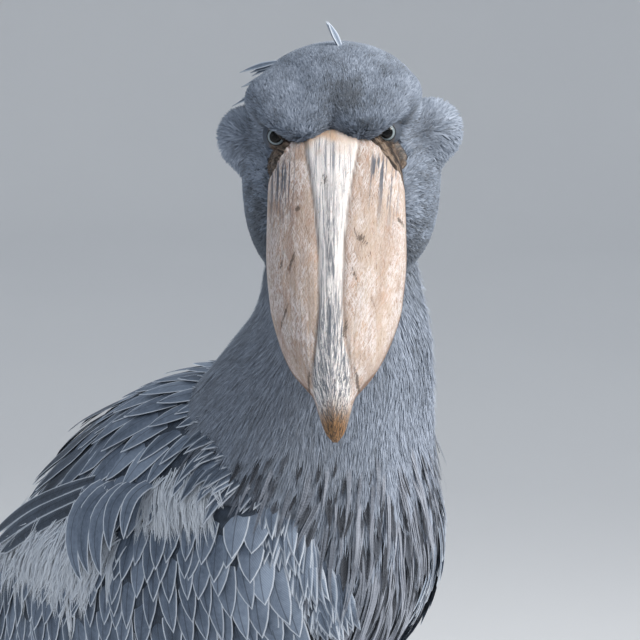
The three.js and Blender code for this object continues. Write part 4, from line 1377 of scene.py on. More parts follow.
@dataclass
class NeckCoat:
    """The neck's hair-like feathers, growing into the breast's long plumes."""

    b: Builder
    skin: Skin
    strands: int = 32000

    def strand_weight(self, p: Array) -> Array:
        """Where the hair-like feathers stand."""
        b = self.b
        head = smooth(-3, 8, b.head.distance(p))
        q = b.head.local(p)
        high = 0.2 * smooth(730, 780, p[:, 2]) + 0.8 * smooth(765, 820, p[:, 2] + 0.2 * p[:, 1] * (p[:, 1] < 0))
        behind = smooth(60, -10, p[:, 1])
        bill = (np.abs(q[:, 0]) < 40) & (q[:, 1] < -60) & (q[:, 2] > -45)
        return head * high * behind * ~bill

    def locks(self, turn: Array) -> Callable[[Array, Array], Array]:
        """The lie down the neck, gathered into locks, with each strand's own lean."""

        def lie(p: Array, out: Array) -> Array:
            """The way down at a place."""
            way = downward(p, out)
            lean = turn + 0.14 * ripple(p, 40, 43)[:, None] + 0.05 * ripple(p, 9, 44)[:, None]
            return way + lean * np.cross(out, way)

        return lie

    def build(self) -> None:
        """Grows and dresses the neck and breast."""
        b = self.b
        for name, right, salt in (("neck_strands_right", True, 41), ("neck_strands_left", False, 45)):
            rng = b.rng(salt)

            def weight(p: Array) -> Array:
                """The strands of one half of the neck."""
                share = smooth(4, -4, p[:, 0])
                return self.strand_weight(p) * (share if right else 1 - share)

            roots = self.skin.roots(self.strands, weight, rng)
            n = len(roots)
            low = smooth(1010, 820, roots[:, 2])
            loose = smooth(15, 45, roots[:, 0]) * smooth(860, 900, roots[:, 2]) * smooth(1040, 1000, roots[:, 2])
            length = (15 + 24 * low) * rng.uniform(0.7, 1.3, n)
            half = (0.65 + 0.25 * low) * rng.uniform(0.7, 1.3, n)
            rise = rng.uniform(0.2, 1.8, n) + loose * rng.uniform(0, 4.0, n) * (rng.random(n) < 0.4)
            turn = rng.normal(0, 0.1 + 0.25 * loose, n)[:, None]
            spots, outs = b.over_flesh(roots, self.locks(turn), length, lambda u: -5 + (4.5 + rise) * u**0.8, 3)
            tone = b.markings.tone(roots) + 0.14 * ripple(roots * np.array([1, 1, 0.25]), 7, 46)
            tone = np.clip(tone + rng.normal(0, 0.17, n), 0, 1)
            tint = rows_of(tone, rng.uniform(0.1, 0.7, n), 0)
            sheet = b.sheet()
            sheet.grow(Routes(spots, outs, half, tint), STRAND_CUT, rng, soft=0.8)
            finish_piece(sheet.make(name, soft_normals=True), b.plush, "plumage")
        # The under layer is near black, so the gaps between the plumes show dark: painted shade.
        self.plumes("breast_shade_layer", 9.0, 42, 0.04, 4.4, 62, 4.0, 1)
        self.plumes("breast_plumes", 9.0, 47, 0.86, 3.4, 96, 8.0, 8)

    def plumes(self, name: str, gap: float, salt: int, tone: float, half: float, length: float, rise: float,
               split: int) -> None:
        """A layer of the breast's long lance-shaped plumes.

        Args:
            name: the piece's name.
            gap: distance between roots.
            salt: which chance.
            tone: how pale.
            half: half a plume's width.
            length: its length.
            rise: how far its tip stands out.
            split: how many strands a plume is frayed into.
        """
        b = self.b
        rng = b.rng(salt)

        def weight(p: Array) -> Array:
            """Where the breast's plumes stand."""
            front = smooth(-50, -120, p[:, 1]) * smooth(116, 100, np.abs(p[:, 0]))
            return front * smooth(856, 806, p[:, 2]) * smooth(600, 650, p[:, 2])

        roots = self.skin.spaced(gap, weight, rng, 9000)
        n = len(roots)
        low = smooth(850, 760, roots[:, 2])
        size = length * (0.55 + 0.45 * low) * rng.uniform(0.75, 1.25, n)
        width = half * (0.6 + 0.4 * low) * rng.uniform(0.7, 1.35, n)
        lift = rise * rng.uniform(0.5, 1.2, n)
        turn = rng.normal(0, 0.07, n)
        # Painted light: the plumes are paler towards the side the key light falls on.
        pale = smooth(-70, 20, roots[:, 0])
        shade = tone * (0.6 + 0.4 * pale) + rng.normal(0, 0.09, n)
        each = np.repeat(np.arange(n), split)
        m = len(each)
        across = width[each] * rng.uniform(-1, 1, m) * (split > 1)
        p, out = b.flesh.settle(roots, 0.0)
        side = unit(np.cross(out, downward(p, out)))
        # Strands of one plume lean together, so that they meet at its tip.
        lean = (turn[each] - 0.9 * across / size[each])[:, None]
        roots, reach = p[each] + side[each] * across[:, None], size[each] * rng.uniform(0.9, 1.04, m)
        spots, outs = b.over_flesh(roots, self.locks(lean), reach, lambda u: -6 + (5 + lift[each]) * u**0.7, 9)
        rows = rows_of(np.clip(shade[each] + rng.normal(0, 0.07, m), 0, 1), 0.1, 0)
        sheet = b.sheet()
        cut = PLUME_CUT if split == 1 else STRAND_CUT
        sheet.grow(Routes(spots, outs, width[each] * min(1.0, 1.5 / split), rows), cut, rng, soft=0.4)
        finish_piece(sheet.make(name, soft_normals=True), b.soft, "plumage")


@dataclass
class BellyCoat:
    """The soft contour feathers of belly, flanks, thighs and under the tail."""

    b: Builder
    skin: Skin
    gap: float = 9.5

    def build(self) -> None:
        """Grows and dresses the under parts."""
        b = self.b
        rng = b.rng(51)

        def weight(p: Array) -> Array:
            """Where the under parts' feathers stand."""
            breast = smooth(-70, -115, p[:, 1]) * smooth(650, 690, p[:, 2])
            return smooth(830, 800, p[:, 2] + 0.2 * p[:, 1]) * smooth(330, 345, p[:, 2]) * (1 - breast)

        roots = self.skin.spaced(self.gap, weight, rng, 22000)
        n = len(roots)
        leg = smooth(560, 470, roots[:, 2])
        length = (50 - 24 * leg) * rng.uniform(0.8, 1.2, n)
        half = (8.5 - 4.6 * leg) * rng.uniform(0.8, 1.2, n)
        rise = rng.uniform(1.5, 5, n) * (1 - 0.5 * leg)
        turn = rng.normal(0, 0.14, n)[:, None]

        def lie(p: Array, out: Array) -> Array:
            """Down and back with each feather's own lean."""
            way = downward(p, out)
            down = smooth(560, 480, p[..., 2])
            way[..., 1] = way[..., 1] * (1 - down) + 0.1 * down
            return way + turn * np.cross(out, way)

        spots, outs = b.over_flesh(roots, lie, length, lambda u: -5 + (5 + rise) * u**0.9, 6)
        tone = np.clip(b.markings.tone(roots) + rng.normal(0, 0.1, n), 0, 1)
        tint = rows_of(tone, 0.5, 0.3)
        sheet = b.sheet()
        sheet.grow(Routes(spots, outs, half, tint), PLUME_CUT, rng, soft=0.35)
        finish_piece(sheet.make("under_feathers", soft_normals=True), b.soft, "plumage")


@dataclass
class Bed:
    """The closed form under a patch of vanes, laid over the body."""

    b: Builder
    first: float
    last: float
    top: Curve
    foot: Curve
    sole: Curve
    crest: Callable[[Array, Array, Array], Array]

    def make(self, name: str, side: Side, whole: bool = False) -> bpy.types.Object:
        """Builds the patch.

        Args:
            name: the piece's name.
            side: which side of the bird.
            whole: whether it runs across the spine.

        Returns:
            The object.
        """
        b = self.b
        form = bmesh.new()
        bmesh.ops.create_cube(form, size=1)
        bmesh.ops.subdivide_edges(form, edges=form.edges[:], cuts=30, use_grid_fill=True)
        p = np.array([v.co[:] for v in form.verts])
        t = self.first + (self.last - self.first) * (p[:, 0] + 0.5)
        start = -self.foot(t) if whole else self.top(t)
        angle = np.radians(start + (self.foot(t) - start) * (p[:, 1] + 0.5))
        low, high = self.sole(t), self.crest(t, p[:, 0] * 2, p[:, 1] * 2)
        height = low + (high - low) * (p[:, 2] + 0.5)
        spots = b.body.on(t, angle) + b.body.out(t, angle) * height[:, None]
        if not whole:
            spots = spots * side.flip
        for vertex, spot in zip(form.verts, (spots + b.shift) * MM):
            vertex.co = spot
        bmesh.ops.recalc_face_normals(form, faces=form.faces)
        mesh = mesh_of(name, form)
        lay = rows_of(t * 507, np.degrees(angle) * 2, 9.0)
        tint = np.tile([0.12, 0.0, 0.0], (len(t), 1))
        marked(mesh, lay=lay, tint=tint)
        return linked(name, mesh)


@dataclass
class Wing:
    """A folded wing: coverts in rows, the long flight feathers below and the tips beside the tail."""

    b: Builder
    side: Side
    end: float = 1.12
    top: Curve = Curve([(0.09, 82), (0.3, 76), (0.45, 70), (0.62, 54), (0.84, 34), (1, 17), (1.12, 12), (1.36, 40)])
    foot: Curve = Curve([(0.09, 134), (0.22, 146), (0.45, 143), (0.8, 124), (1, 108), (1.36, 88)])
    thick: Curve = Curve([(0.09, 3), (0.25, 13), (0.45, 17), (0.7, 17), (1, 14), (1.36, 11)])
    sole: Curve = Curve([(0.09, -5), (0.85, -5), (1.02, 4), (1.36, 7)])
    heading: Curve = Curve([(0.08, 66), (0.2, 66), (0.35, 60), (0.55, 52), (0.8, 44)])
    row_share: float = 0.1
    row_pitch: float = 15.5
    rows: int = 8

    def crest(self, t: Array, v: Array) -> Array:
        """The wing's height over the body at t and at v from edge to edge."""
        u = 2 * (t - 0.09) / (self.end - 0.09) - 1
        flat_v, flat_u = np.maximum(1 - v * v * 0.55, 0.3), np.maximum(1 - u * u * 0.35, 0.3)
        return self.thick(t) * np.sqrt(flat_v) * np.sqrt(flat_u) + 2

    def lifted(self, low: Array, high: Array) -> Callable[[float, Array, Array], Array]:
        """A height that rises from low to high along a feather, over the wing's own form."""

        def height(u: float, t: Array, around: Array) -> Array:
            """The height at a share, t and angle."""
            share = (around - self.top(t)) / (self.foot(t) - self.top(t))
            return self.crest(t, np.clip(2 * share - 1, -1, 1)) + low + (high - low) * u

        return height

    def angle(self, t: Array, share: Array) -> Array:
        """Degrees from the spine at a share of the way down the wing."""
        return self.top(t) + (self.foot(t) - self.top(t)) * share

    def coverts(self, sheet: Sheet, rng: np.random.Generator) -> None:
        """The rows of pointed, pale-edged coverts."""
        for row in range(self.rows):
            share = -0.06 + self.row_share * row
            first, last = 0.085 + 0.012 * (row % 3), 0.84 - 0.032 * row
            count = int((last - first) * self.b.body.length / self.row_pitch)
            t = first + (np.arange(count) + (0.75 if row % 2 else 0.25)) / count * (last - first)
            t = t + rng.normal(0, 0.004, count)
            front = smooth(0.2, 0.11, t)
            heading = self.heading(t) + rng.normal(0, 4, count)
            around = self.angle(t, share + rng.normal(0, 0.02, count))
            length = (44 + 2.4 * row) * rng.uniform(0.88, 1.14, count)
            half = (8.4 + 0.1 * row + 2.6 * front) * rng.uniform(0.88, 1.12, count)
            lift = rng.uniform(3.0, 6.0, count)
            spots, outs = self.b.over_body(t, around, lambda u: heading, length, self.lifted(-3, lift), 8)
            tone = np.clip(0.5 + 0.26 * front + rng.normal(0, 0.09, count), 0, 1)
            tint = rows_of(tone, rng.uniform(0.1, 0.4, count), rng.uniform(0.75, 1.0, count))
            sheet.grow(Routes(spots, outs, half, tint).mirrored(self.side), COVERT_CUT, rng)

    def fringe(self, sheet: Sheet, rng: np.random.Generator) -> None:
        """The breast side's soft feathers, which hang over the wing's front edge."""
        n = 170
        u = rng.random(n)
        t, around = 0.055 + 0.04 * rng.random(n), 68 + 70 * u
        heading = 72 - 26 * u + rng.normal(0, 7, n)
        lift = rng.uniform(5, 9, n) - 3 * (around > 115)
        spots, outs = self.b.over_body(t, around, lambda s: heading, rng.uniform(34, 52, n), lambda s, t,
                                       a: lift * s**0.6 - 1, 8)
        tint = rows_of(np.clip(rng.normal(0.6, 0.12, n), 0, 1), rng.uniform(0.2, 0.5, n), rng.uniform(0.3, 0.8, n))
        sheet.grow(Routes(spots, outs, rng.uniform(3.6, 6.4, n), tint).mirrored(self.side), LANCE_CUT, rng)

    def flights(self, sheet: Sheet, rng: np.random.Generator) -> None:
        """Greater coverts, secondaries, tertials and the primaries' tips."""
        u = np.linspace(0, 1, 20)
        t = 0.12 + 0.6 * u
        jitter = rng.normal(0, 1.5, 20)
        spots, outs = self.b.over_body(t, self.angle(t, 0.72 - 0.36 * u), lambda s: 44 - 22 * u + jitter, 84 + 14 * u,
                                       self.lifted(-3, 4.8), 10)
        tint = rows_of(rng.uniform(0.34, 0.5, 20), 0.15, 0.8)
        sheet.grow(Routes(spots, outs, np.full(20, 11.5), tint).mirrored(self.side), COVERT_CUT, rng)
        u = np.linspace(0, 1, 15)
        t = 0.18 + 0.58 * u
        spots, outs = self.b.over_body(t, self.angle(t, 0.8 - 0.64 * u), lambda s: 11 - 4 * u, 165 + 20 * u,
                                       self.lifted(-3, 3.6), 14)
        tint = rows_of(rng.uniform(0.2, 0.34, 15), 0.1, 0.55)
        sheet.grow(Routes(spots, outs, np.full(15, 11.0), tint).mirrored(self.side), FLIGHT_CUT, rng)
        u = np.linspace(0, 1, 6)
        t = 0.78 + 0.028 * 5 * u
        spots, outs = self.b.over_body(t, 62 - 52 * u, lambda s: 6 - 9 * u, np.full(6, 158.0), self.lifted(-3, 4.8),
                                       12)
        tint = rows_of(rng.uniform(0.26, 0.4, 6), 0.1, 0.6)
        sheet.grow(Routes(spots, outs, np.full(6, 10.5), tint).mirrored(self.side), FLIGHT_CUT, rng)
        u = np.linspace(0, 1, 9)
        spots, outs = self.b.over_body(np.full(9, 0.97), 38 + 58 * u, lambda s: 7 - 14 * u, 208 - 30 * u,
                                       lambda s, t, a: 4 + 5 * s - 1.5 * u, 14)
        tint = rows_of(rng.uniform(0.06, 0.16, 9), 0.05, 0.3)
        sheet.grow(Routes(spots, outs, np.full(9, 8.5), tint).mirrored(self.side), FLIGHT_CUT, rng)

    def build(self) -> None:
        """Grows and dresses the wing."""
        word = self.side.word
        rng = self.b.rng(61 + self.side.value)
        bed = Bed(self.b, 0.09, self.end, self.top, self.foot, self.sole, lambda t, u, v: self.crest(t, v))
        finish_piece(bed.make(f"wing_bed_{word}", self.side), self.b.vanes, "plumage", f"wing_{word}")
        sheet = self.b.sheet()
        self.flights(sheet, rng)
        self.coverts(sheet, rng)
        self.fringe(sheet, rng)
        finish_piece(sheet.make(f"wing_vanes_{word}"), self.b.vanes, "plumage")


@dataclass
class Mantle:
    """The back's pointed feathers, and the long ones that droop over each wing."""

    b: Builder
    first: float = 0.13
    last: float = 0.64
    edge: Curve = Curve([(0.13, 52), (0.27, 69), (0.36, 62), (0.48, 44), (0.64, 28)])
    span: Curve = Curve([(0.09, 46), (0.2, 56), (0.3, 59), (0.36, 52), (0.42, 42), (0.53, 31)])
    tiers: tuple = tuple(np.arange(0.09, 0.53, 0.035))
    droopers: tuple = ((0.27, 64, 46, 84, 46), (0.3, 64, 44, 92, 56), (0.325, 63.5, 34, 104, 68),
                       (0.345, 62.5, 24, 114, 76), (0.362, 61.5, 14, 122, 82))
    lift: Curve = Curve([(0, 5), (0.25, 20), (0.5, 28), (1, 32)])

    def crest(self, t: Array, v: Array) -> Array:
        """The mantle's height over the body at t and at v from edge to edge."""
        u = 2 * (t - self.first) / (self.last - self.first) - 1
        return 2 + 20 * np.sqrt(np.maximum(1 - u * u, 0)) * np.sqrt(np.maximum(1 - v * v * 0.7, 0))

    def build(self) -> None:
        """Grows and dresses the mantle."""
        b = self.b
        rng = b.rng(71)
        bed = Bed(b, self.first, self.last, self.edge, self.edge, Curve([(0, -5), (1, -5)]), lambda t, u,
                  v: self.crest(t, v))
        finish_piece(bed.make("mantle_bed", Side.LEFT, whole=True), b.vanes, "plumage", "mantle")
        sheet = b.sheet()
        self.neckward(sheet, rng)
        for i, t0 in enumerate(self.tiers):
            place = np.array(t0)
            grown, late = float(smooth(0.1, 0.28, place)), float(smooth(0.36, 0.46, place))
            count = int(17 - 2 * grown)
            share = (np.arange(count) + (0.25 if i % 2 else 0.75)) / count - 0.5
            span = 2 * float(self.span(place))
            around = share * span + rng.normal(0, 1.2, count)
            t = t0 + rng.normal(0, 0.006, count)
            length = (44 + 32 * grown + 18 * late) * rng.uniform(0.88, 1.14, count)
            half = (6.6 + 5.6 * grown) * rng.uniform(0.85, 1.15, count)
            lift = rng.uniform(3.0, 6.0, count) + 14 * late * rng.uniform(0.4, 1.0, count)

            def height(u: float, t: Array, around: Array) -> Array:
                """Over the mantle's form, rising along the feather."""
                return self.crest(t, np.minimum(np.abs(around) / self.edge(t), 1)) - 3 + (3 + lift) * u

            heading = 62 * share + 24 * (1 - late) * (2 * share) ** 3 + rng.normal(0, 4, count)
            spots, outs = b.over_body(t, around, lambda u: heading + 8 * u * np.sign(share), length, height, 9)
            # Painted shadow: the late tiers darken where they lie in the hollow between mantle and wing.
            tone = np.clip(0.56 - 0.4 * late + rng.normal(0, 0.11, count), 0, 1)
            tint = rows_of(tone, rng.uniform(0.05, 0.3, count), rng.uniform(0.75, 1.0, count))
            sheet.grow(Routes(spots, outs, half, tint), COVERT_CUT, rng)
        self.droop(sheet, rng)
        finish_piece(sheet.make("mantle_vanes"), b.vanes, "plumage")

    def neckward(self, sheet: Sheet, rng: np.random.Generator) -> None:
        """The narrow pale-edged feathers between neck and back."""
        n = 200
        around = rng.uniform(-70, 70, n)
        t = rng.uniform(0.035, 0.13, n) + 0.02 * np.abs(around) / 70
        heading = 0.85 * around + 5 * ripple(rows_of(t * 507, around, 0), 40, 72) + rng.normal(0, 4, n)
        length, half = rng.uniform(34, 54, n), rng.uniform(4.4, 7.2, n)
        lift = rng.uniform(4, 8, n)
        spots, outs = self.b.over_body(t, around, lambda u: heading, length, lambda u, t,
                                       a: lift * u**0.8 - 1 + 14 * smooth(0.08, 0.2, t), 7)
        tint = rows_of(np.clip(rng.normal(0.36, 0.12, n), 0, 1), rng.uniform(0.2, 0.5, n), rng.uniform(0.35, 0.8, n))
        sheet.grow(Routes(spots, outs, half, tint), LANCE_CUT, rng)

    def droop(self, sheet: Sheet, rng: np.random.Generator) -> None:
        """The long curved scapulars over each wing, and the straight ones behind them."""
        for side in Side:
            rows = np.array(self.droopers)
            t, around, first, last, length = (rows + rng.normal(0, (0.003, 0.6, 1, 1, 1.5), rows.shape)).T
            spots, outs = self.b.over_body(t, around, lambda u: first + (last - first) * u, length,
                                           lambda u, t, a: self.lift(u) + 0 * t, 12)
            tint = rows_of(rng.uniform(0.46, 0.62, len(t)), 0.2, 0.95)
            sheet.grow(Routes(spots, outs, np.array([7.5, 9, 10.5, 11, 11]), tint).mirrored(side), COVERT_CUT, rng)
            back = np.linspace(0, 1, 3)
            spots, outs = self.b.over_body(0.37 + 0.04 * back, 67 - 7 * back, lambda u: 2 - 4 * back, 158 + 10 * back,
                                           lambda u, t, a: 15 + 11 * u + 2 * back, 14)
            tint = rows_of(rng.uniform(0.1, 0.2, 3), 0.1, 0.7)
            sheet.grow(Routes(spots, outs, np.full(3, 6.5), tint).mirrored(side), FLIGHT_CUT, rng)


@dataclass
class Down:
    """The pale fluff that shows between the mantle and the wings, in wisps that draw to a point."""

    b: Builder
    fore: tuple = (150, 20)
    rear: tuple = (270, 17)
    spread: float = 4.2

    def wisps(self, sheet: Sheet, side: Side, fore: bool, rng: np.random.Generator) -> None:
        """The wisps of one patch.

        Args:
            sheet: what they are added to.
            side: which side of the bird.
            fore: whether it is the patch before the long drooping feathers, or the one behind them.
            rng: the source of their differences.
        """
        n, strands = self.fore if fore else self.rear
        t = rng.uniform(0.165, 0.29, n) if fore else rng.uniform(0.36, 0.66, n)
        around = rng.normal(65, 2.5, n) if fore else 80 - 30 * np.clip((t - 0.5) / 0.2, 0, 1) + rng.normal(0, 4.5, n)
        heading = rng.normal(82 if fore else 48, 11, n)
        length = rng.uniform(30, 46, n)
        rise, curl, tone = rng.uniform(2, 8, n), rng.normal(0, 16, n), rng.normal(0.8 if fore else 0.68, 0.14, n)
        each = np.repeat(np.arange(n), strands)
        m = len(each)
        back, down = rng.normal(0, self.spread, (2, m))
        way = np.radians(heading[each])
        reach = length[each] * rng.uniform(0.7, 1.1, m)
        lean = -np.degrees(np.arctan2(0.9 * (down * np.cos(way) - back * np.sin(way)), reach))
        lift = rise[each] * rng.uniform(0.7, 1.2, m)
        base = 9 if fore else 18
        spots, outs = self.b.over_body(t[each] + back / self.b.body.length, around[each] + 0.44 * down,
                                       lambda u: heading[each] + lean + curl[each] * u, reach,
                                       lambda u, t, a: base + lift * u**0.8, 6)
        shade = np.clip(tone[each, None] + 0.35 * np.linspace(-0.5, 1, 7) + rng.normal(0, 0.1, (m, 1)), 0, 1)
        rows = rows_of(shade, 0.4, 0)
        sheet.grow(Routes(spots, outs, 0.55 * rng.uniform(0.7, 1.3, m), rows).mirrored(side), STRAND_CUT, rng,
                   soft=0.6)

    def build(self) -> None:
        """Grows and dresses the down."""
        for side in Side:
            rng = self.b.rng(81 + side.value)
            sheet = self.b.sheet()
            self.wisps(sheet, side, True, rng)
            self.wisps(sheet, side, False, rng)
            finish_piece(sheet.make(f"down_{side.word}", soft_normals=True), self.b.down, "plumage")


@dataclass
class Tail:
    """The broad short tail and the coverts above it."""

    b: Builder
    length: float = 215.0
    drop: float = 6.0
    count: int = 12

    def build(self) -> None:
        """Grows and dresses the tail."""
        b = self.b
        rng = b.rng(91)
        turn = np.array(Matrix.Rotation(-math.radians(self.drop), 3, "X"))
        heading = turn @ b.body.axis
        up = np.array([0, -heading[2], heading[1]])
        root = b.body.centre(np.array(0.95)) - 12 * b.body.up

        def stump(share: Array, turn_: Array) -> Array:
            """The tail's fleshy root."""
            close = domed(share, 0.1)
            wide, high = (34 - 4 * share) * close, (15 - 10 * share**2) * close
            flat = rows_of(np.cos(turn_) * wide, 0, 0)
            return root + heading * (share * 105)[:, None] + flat + up * (np.sin(turn_) * high)[:, None]

        def plain(share: Array, turn_: Array) -> Array:
            """One even tone."""
            return rows_of(share * 105, 30 * turn_, 9 + 0 * share)

        bed = warped_ball("tail_root", b.shift, 24, 32, stump, plain, lambda s, a: rows_of(0.3 + 0 * s, 0, 0))
        finish_piece(bed, b.vanes, "plumage", "tail")
        sheet = b.sheet()
        place = np.arange(self.count) - (self.count - 1) / 2
        level = 4.5 - 2.2 * (np.abs(place) - 0.5) - np.where(place > 0, 1.1, 0)
        spots, outs = [], []
        for one, high in zip(place, level):
            way = np.array(Matrix.Rotation(math.radians(1.7 * one), 3, up.tolist())) @ heading
            start = root + heading * 30 + np.array([3 * one, 0, 0]) + up * high
            reach = self.length - 30 - 1.6 * abs(one)
            spots.append(start + way * (np.linspace(0, 1, 12) * reach)[:, None])
            outs.append(np.repeat(up[None], 12, 0))
        n = self.count
        tint = rows_of(rng.uniform(0.14, 0.26, n), 0.1, 0.5)
        cut = Cut(Curve([(0, 0.6), (0.7, 1), (0.9, 0.92), (1, 0.35)]), bend=120, ridge=0.5)
        sheet.grow(Routes(np.array(spots), np.array(outs), np.full(n, 14.0), tint), cut, rng)
        for t0 in np.arange(0.78, 1.02, 0.04):
            count = 9
            share = (np.arange(count) + 0.5) / count - 0.5
            around = share * (130 - 40 * (t0 - 0.78) / 0.24)
            length = rng.uniform(58, 78, count)
            spots_, outs_ = b.over_body(np.full(count, t0), around, lambda u: 14 * share, length, lambda u, t,
                                        a: -4 + 8 * u + 0 * t, 8)
            tint = rows_of(rng.uniform(0.3, 0.5, count), 0.2, 0.6)
            sheet.grow(Routes(spots_, outs_, np.full(count, 11.0), tint), LANCE_CUT, rng)
        finish_piece(sheet.make("tail_vanes"), b.vanes, "plumage")


@dataclass
class Bill:
    """The great hooked bill: a broad vault with a ridge, a nail and the lower half behind it."""

    b: Builder
    base: float = -40.0
    length: float = 235.0
    lower_share: float = 0.885
    width: Curve = Curve([(0, 34), (0.06, 46), (0.2, 50), (0.38, 50.5), (0.56, 47), (0.65, 42), (0.73, 36),
                          (0.79, 29.5), (0.84, 20.5), (0.875, 14.5), (0.93, 10.5), (0.975, 6.5), (1, 1.6)])
    culmen: Curve = Curve([(0, 17), (0.04, 23), (0.12, 26), (0.3, 24), (0.5, 21), (0.7, 17), (0.82, 11), (0.9, 3),
                           (1, -20)])
    tomium: Curve = Curve([(0, -8), (0.3, -19), (0.6, -23), (0.8, -15), (0.88, -15), (1, -24)])
    gonys: Curve = Curve([(0, -48), (0.2, -58), (0.45, -60), (0.7, -50), (0.85, -34), (0.9, -26)])
    ridge: Curve = Curve([(0, 19), (0.1, 17.6), (0.23, 13), (0.37, 9), (0.5, 7.2), (0.62, 7.2), (0.74, 9),
                          (0.84, 12), (0.92, 9), (1, 3)])
    # Each scar's place along and across the bill, its length and width, its lean in degrees and its depth.
    scars: tuple = ((72, -24.7, 2.6, 2, 0, 0.7), (74, 47, 2.6, 2.4, 0, 0.7), (98, 21, 6, 3, -35, 0.5),
                    (112, -28.5, 8, 1.1, 18, 0.8), (128, 17.2, 8, 0.9, -18, 0.7), (109, -36.5, 7, 2, 8, 0.45),
                    (167, 9.7, 7, 1.7, 8, 0.7), (55, -5, 7, 2.4, 0, 0.4), (150, -34, 9, 1.0, 24, 0.6),
                    (200, -17, 7, 1.2, 10, 0.7), (200, 17, 7, 1.2, -10, 0.7))

    def gape(self, s: Array, aside: Array) -> Array:
        """1 on the dark folded skin over the bill's outer shoulders, 0 on the horn."""
        return smooth(-1.5, 1.5, (aside - 27) * 1.05 - self.length * (s - 0.068))

    def upper_local(self, share: Array, turn: Array) -> Array:
        """The upper half in the head's frame; turn 90 degrees is the ridge's middle."""
        s = np.clip(share * 1.04 - 0.02, 0, 1)
        x, z = np.cos(turn), np.sin(turn)
        w, top, edge = self.width(s), self.culmen(s), self.tomium(s)
        nail = smooth(0.84, 0.92, s)
        crown = np.where(z > 0, (top - edge) * np.abs(z) ** 0.75, 3 * z * (1 - nail))
        aside = np.abs(w * x)
        rim = self.ridge(s)
        raised = 1.5 * smooth(rim + 2, rim - 2, aside) + 1.3 * smooth(rim * 0.7, 0, aside)
        groove = -0.9 * np.exp(-(((aside - rim - 1.6) / 1.3) ** 2))
        gape = self.gape(s, aside)
        wrinkle = 0.9 * (aside + 200 * s) + 1.5 * ripple(rows_of(s * 235, aside, 0), 12, 8)
        gape = gape * (0.9 + 0.9 * np.sin(wrinkle))
        fine = 0.25 * np.sin(aside * 1.9 + 2 * np.sin(s * 9)) + 0.35 * ripple(rows_of(s * 60, aside, 0), 9, 5)
        top_side = smooth(0, 0.35, z)
        detail = (raised + groove) * top_side * (1 - 0.6 * nail) * smooth(0, 0.06, s) + (fine + gape) * top_side
        close = domed(share, 0.04)
        middle = (top + edge) / 2
        height = edge + crown + detail
        return rows_of(w * x * close, self.base - self.length * s, middle + (height - middle) * close)

    def lower_local(self, share: Array, turn: Array) -> Array:
        """The lower half in the head's frame."""
        s = np.clip(share * 1.04 - 0.02, 0, 1) * self.lower_share
        x, z = np.cos(turn), np.sin(turn)
        w = np.maximum(self.width(s) - 3.5, 5)
        edge, keel = self.tomium(s) - 4, self.gonys(s)
        fall = np.where(z < 0, np.minimum(keel - edge, -3) * np.abs(z) ** 0.8, 0)
        close = domed(share, 0.05)
        middle = (edge + keel) / 2
        return rows_of(w * x * close, self.base - self.length * s, middle + (edge + fall - middle) * close)

    def lay(self, place: Array) -> Array:
        """Pattern coordinates: along the bill, and round it from the ridge."""
        across = place[:, 0] + 0.35 * np.sign(place[:, 0]) * (20 - place[:, 2])
        return rows_of(self.base - place[:, 1], across, place[:, 2])

    def marks(self, place: Array) -> Array:
        """Shares of the white ridge, the nail and the dark streaks at the base's sides."""
        s = (self.base - place[:, 1]) / self.length
        x = np.abs(place[:, 0])
        rim = self.ridge(s)
        upper = smooth(-6, 4, place[:, 2] - self.tomium(s))
        wobble = 2.2 * ripple(place, 30, 7)
        ridge = smooth(rim + 4, rim - 2, x + wobble * 0.4) * upper
        nail = smooth(0.885, 0.965, s + 0.012 * wobble)
        base = smooth(0.42, 0.18, s) * smooth(0.1, 0.15, s) * smooth(24, 30, x) * smooth(48, 44, x)
        return rows_of(ridge, nail, np.clip(base, 0, 1) - self.scarred(place) * upper)

    def scarred(self, place: Array) -> Array:
        """How deep the scars lie at places, from 0 to 1."""
        deep = np.zeros(len(place))
        for along, aside, long, wide, lean, depth in self.scars:
            a, c = self.base - place[:, 1] - along, place[:, 0] - aside
            turn = math.radians(lean)
            u, v = a * math.cos(turn) - c * math.sin(turn), a * math.sin(turn) + c * math.cos(turn)
            deep = np.maximum(deep, depth * np.exp(-((u / long) ** 2) - (v / wide) ** 2))
        return deep

    def borders(self, place: Array) -> Array:
        """Shares of the brown edge, of the grooves, and of the root: 1 peach skin, -1 dark folds at the gape."""
        s = (self.base - place[:, 1]) / self.length
        x = np.abs(place[:, 0])
        low = place[:, 2] - self.tomium(s)
        edge = smooth(6, 1.5, low + 1.2 * ripple(place, 16, 15)) * smooth(0.02, 0.2, s) * smooth(0.95, 0.86, s)
        groove = np.exp(-(((x - self.ridge(s) - 1.4) / 0.9) ** 2)) * smooth(0.9, 0.8, s) * smooth(2, 8, low)
        peach = smooth(0.15, 0.06, s + 0.025 * ripple(place, 11, 16))
        return rows_of(edge, groove, peach - 2 * self.gape(s, x + 1.5 * ripple(place, 9, 18)))

    def build(self) -> None:
        """Builds and dresses both halves."""
        b = self.b
        # The lower half's horn is a darker copy of the upper's: painted shade for the half that lies under it.
        upper, lower = Horn("bill_horn").make(), Horn("bill_horn_lower_shaded", cream="#a8907c", tan="#7d604c").make()
        for name, form, node, finish in (("upper_bill", self.upper_local, "bill_upper", upper),
                                         ("lower_bill", self.lower_local, "bill_lower", lower)):
            place = lambda s, a, form=form: b.head.posed(form(s, a))
            lay = lambda s, a, form=form: self.lay(form(s, a))
            marks = lambda s, a, form=form: self.marks(form(s, a))
            rims = lambda s, a, form=form: self.borders(form(s, a))
            piece = warped_ball(name, b.shift, 260, 200, place, lay, marks, rims)
            finish_piece(piece, finish, "bill", node)
        self.nostrils()

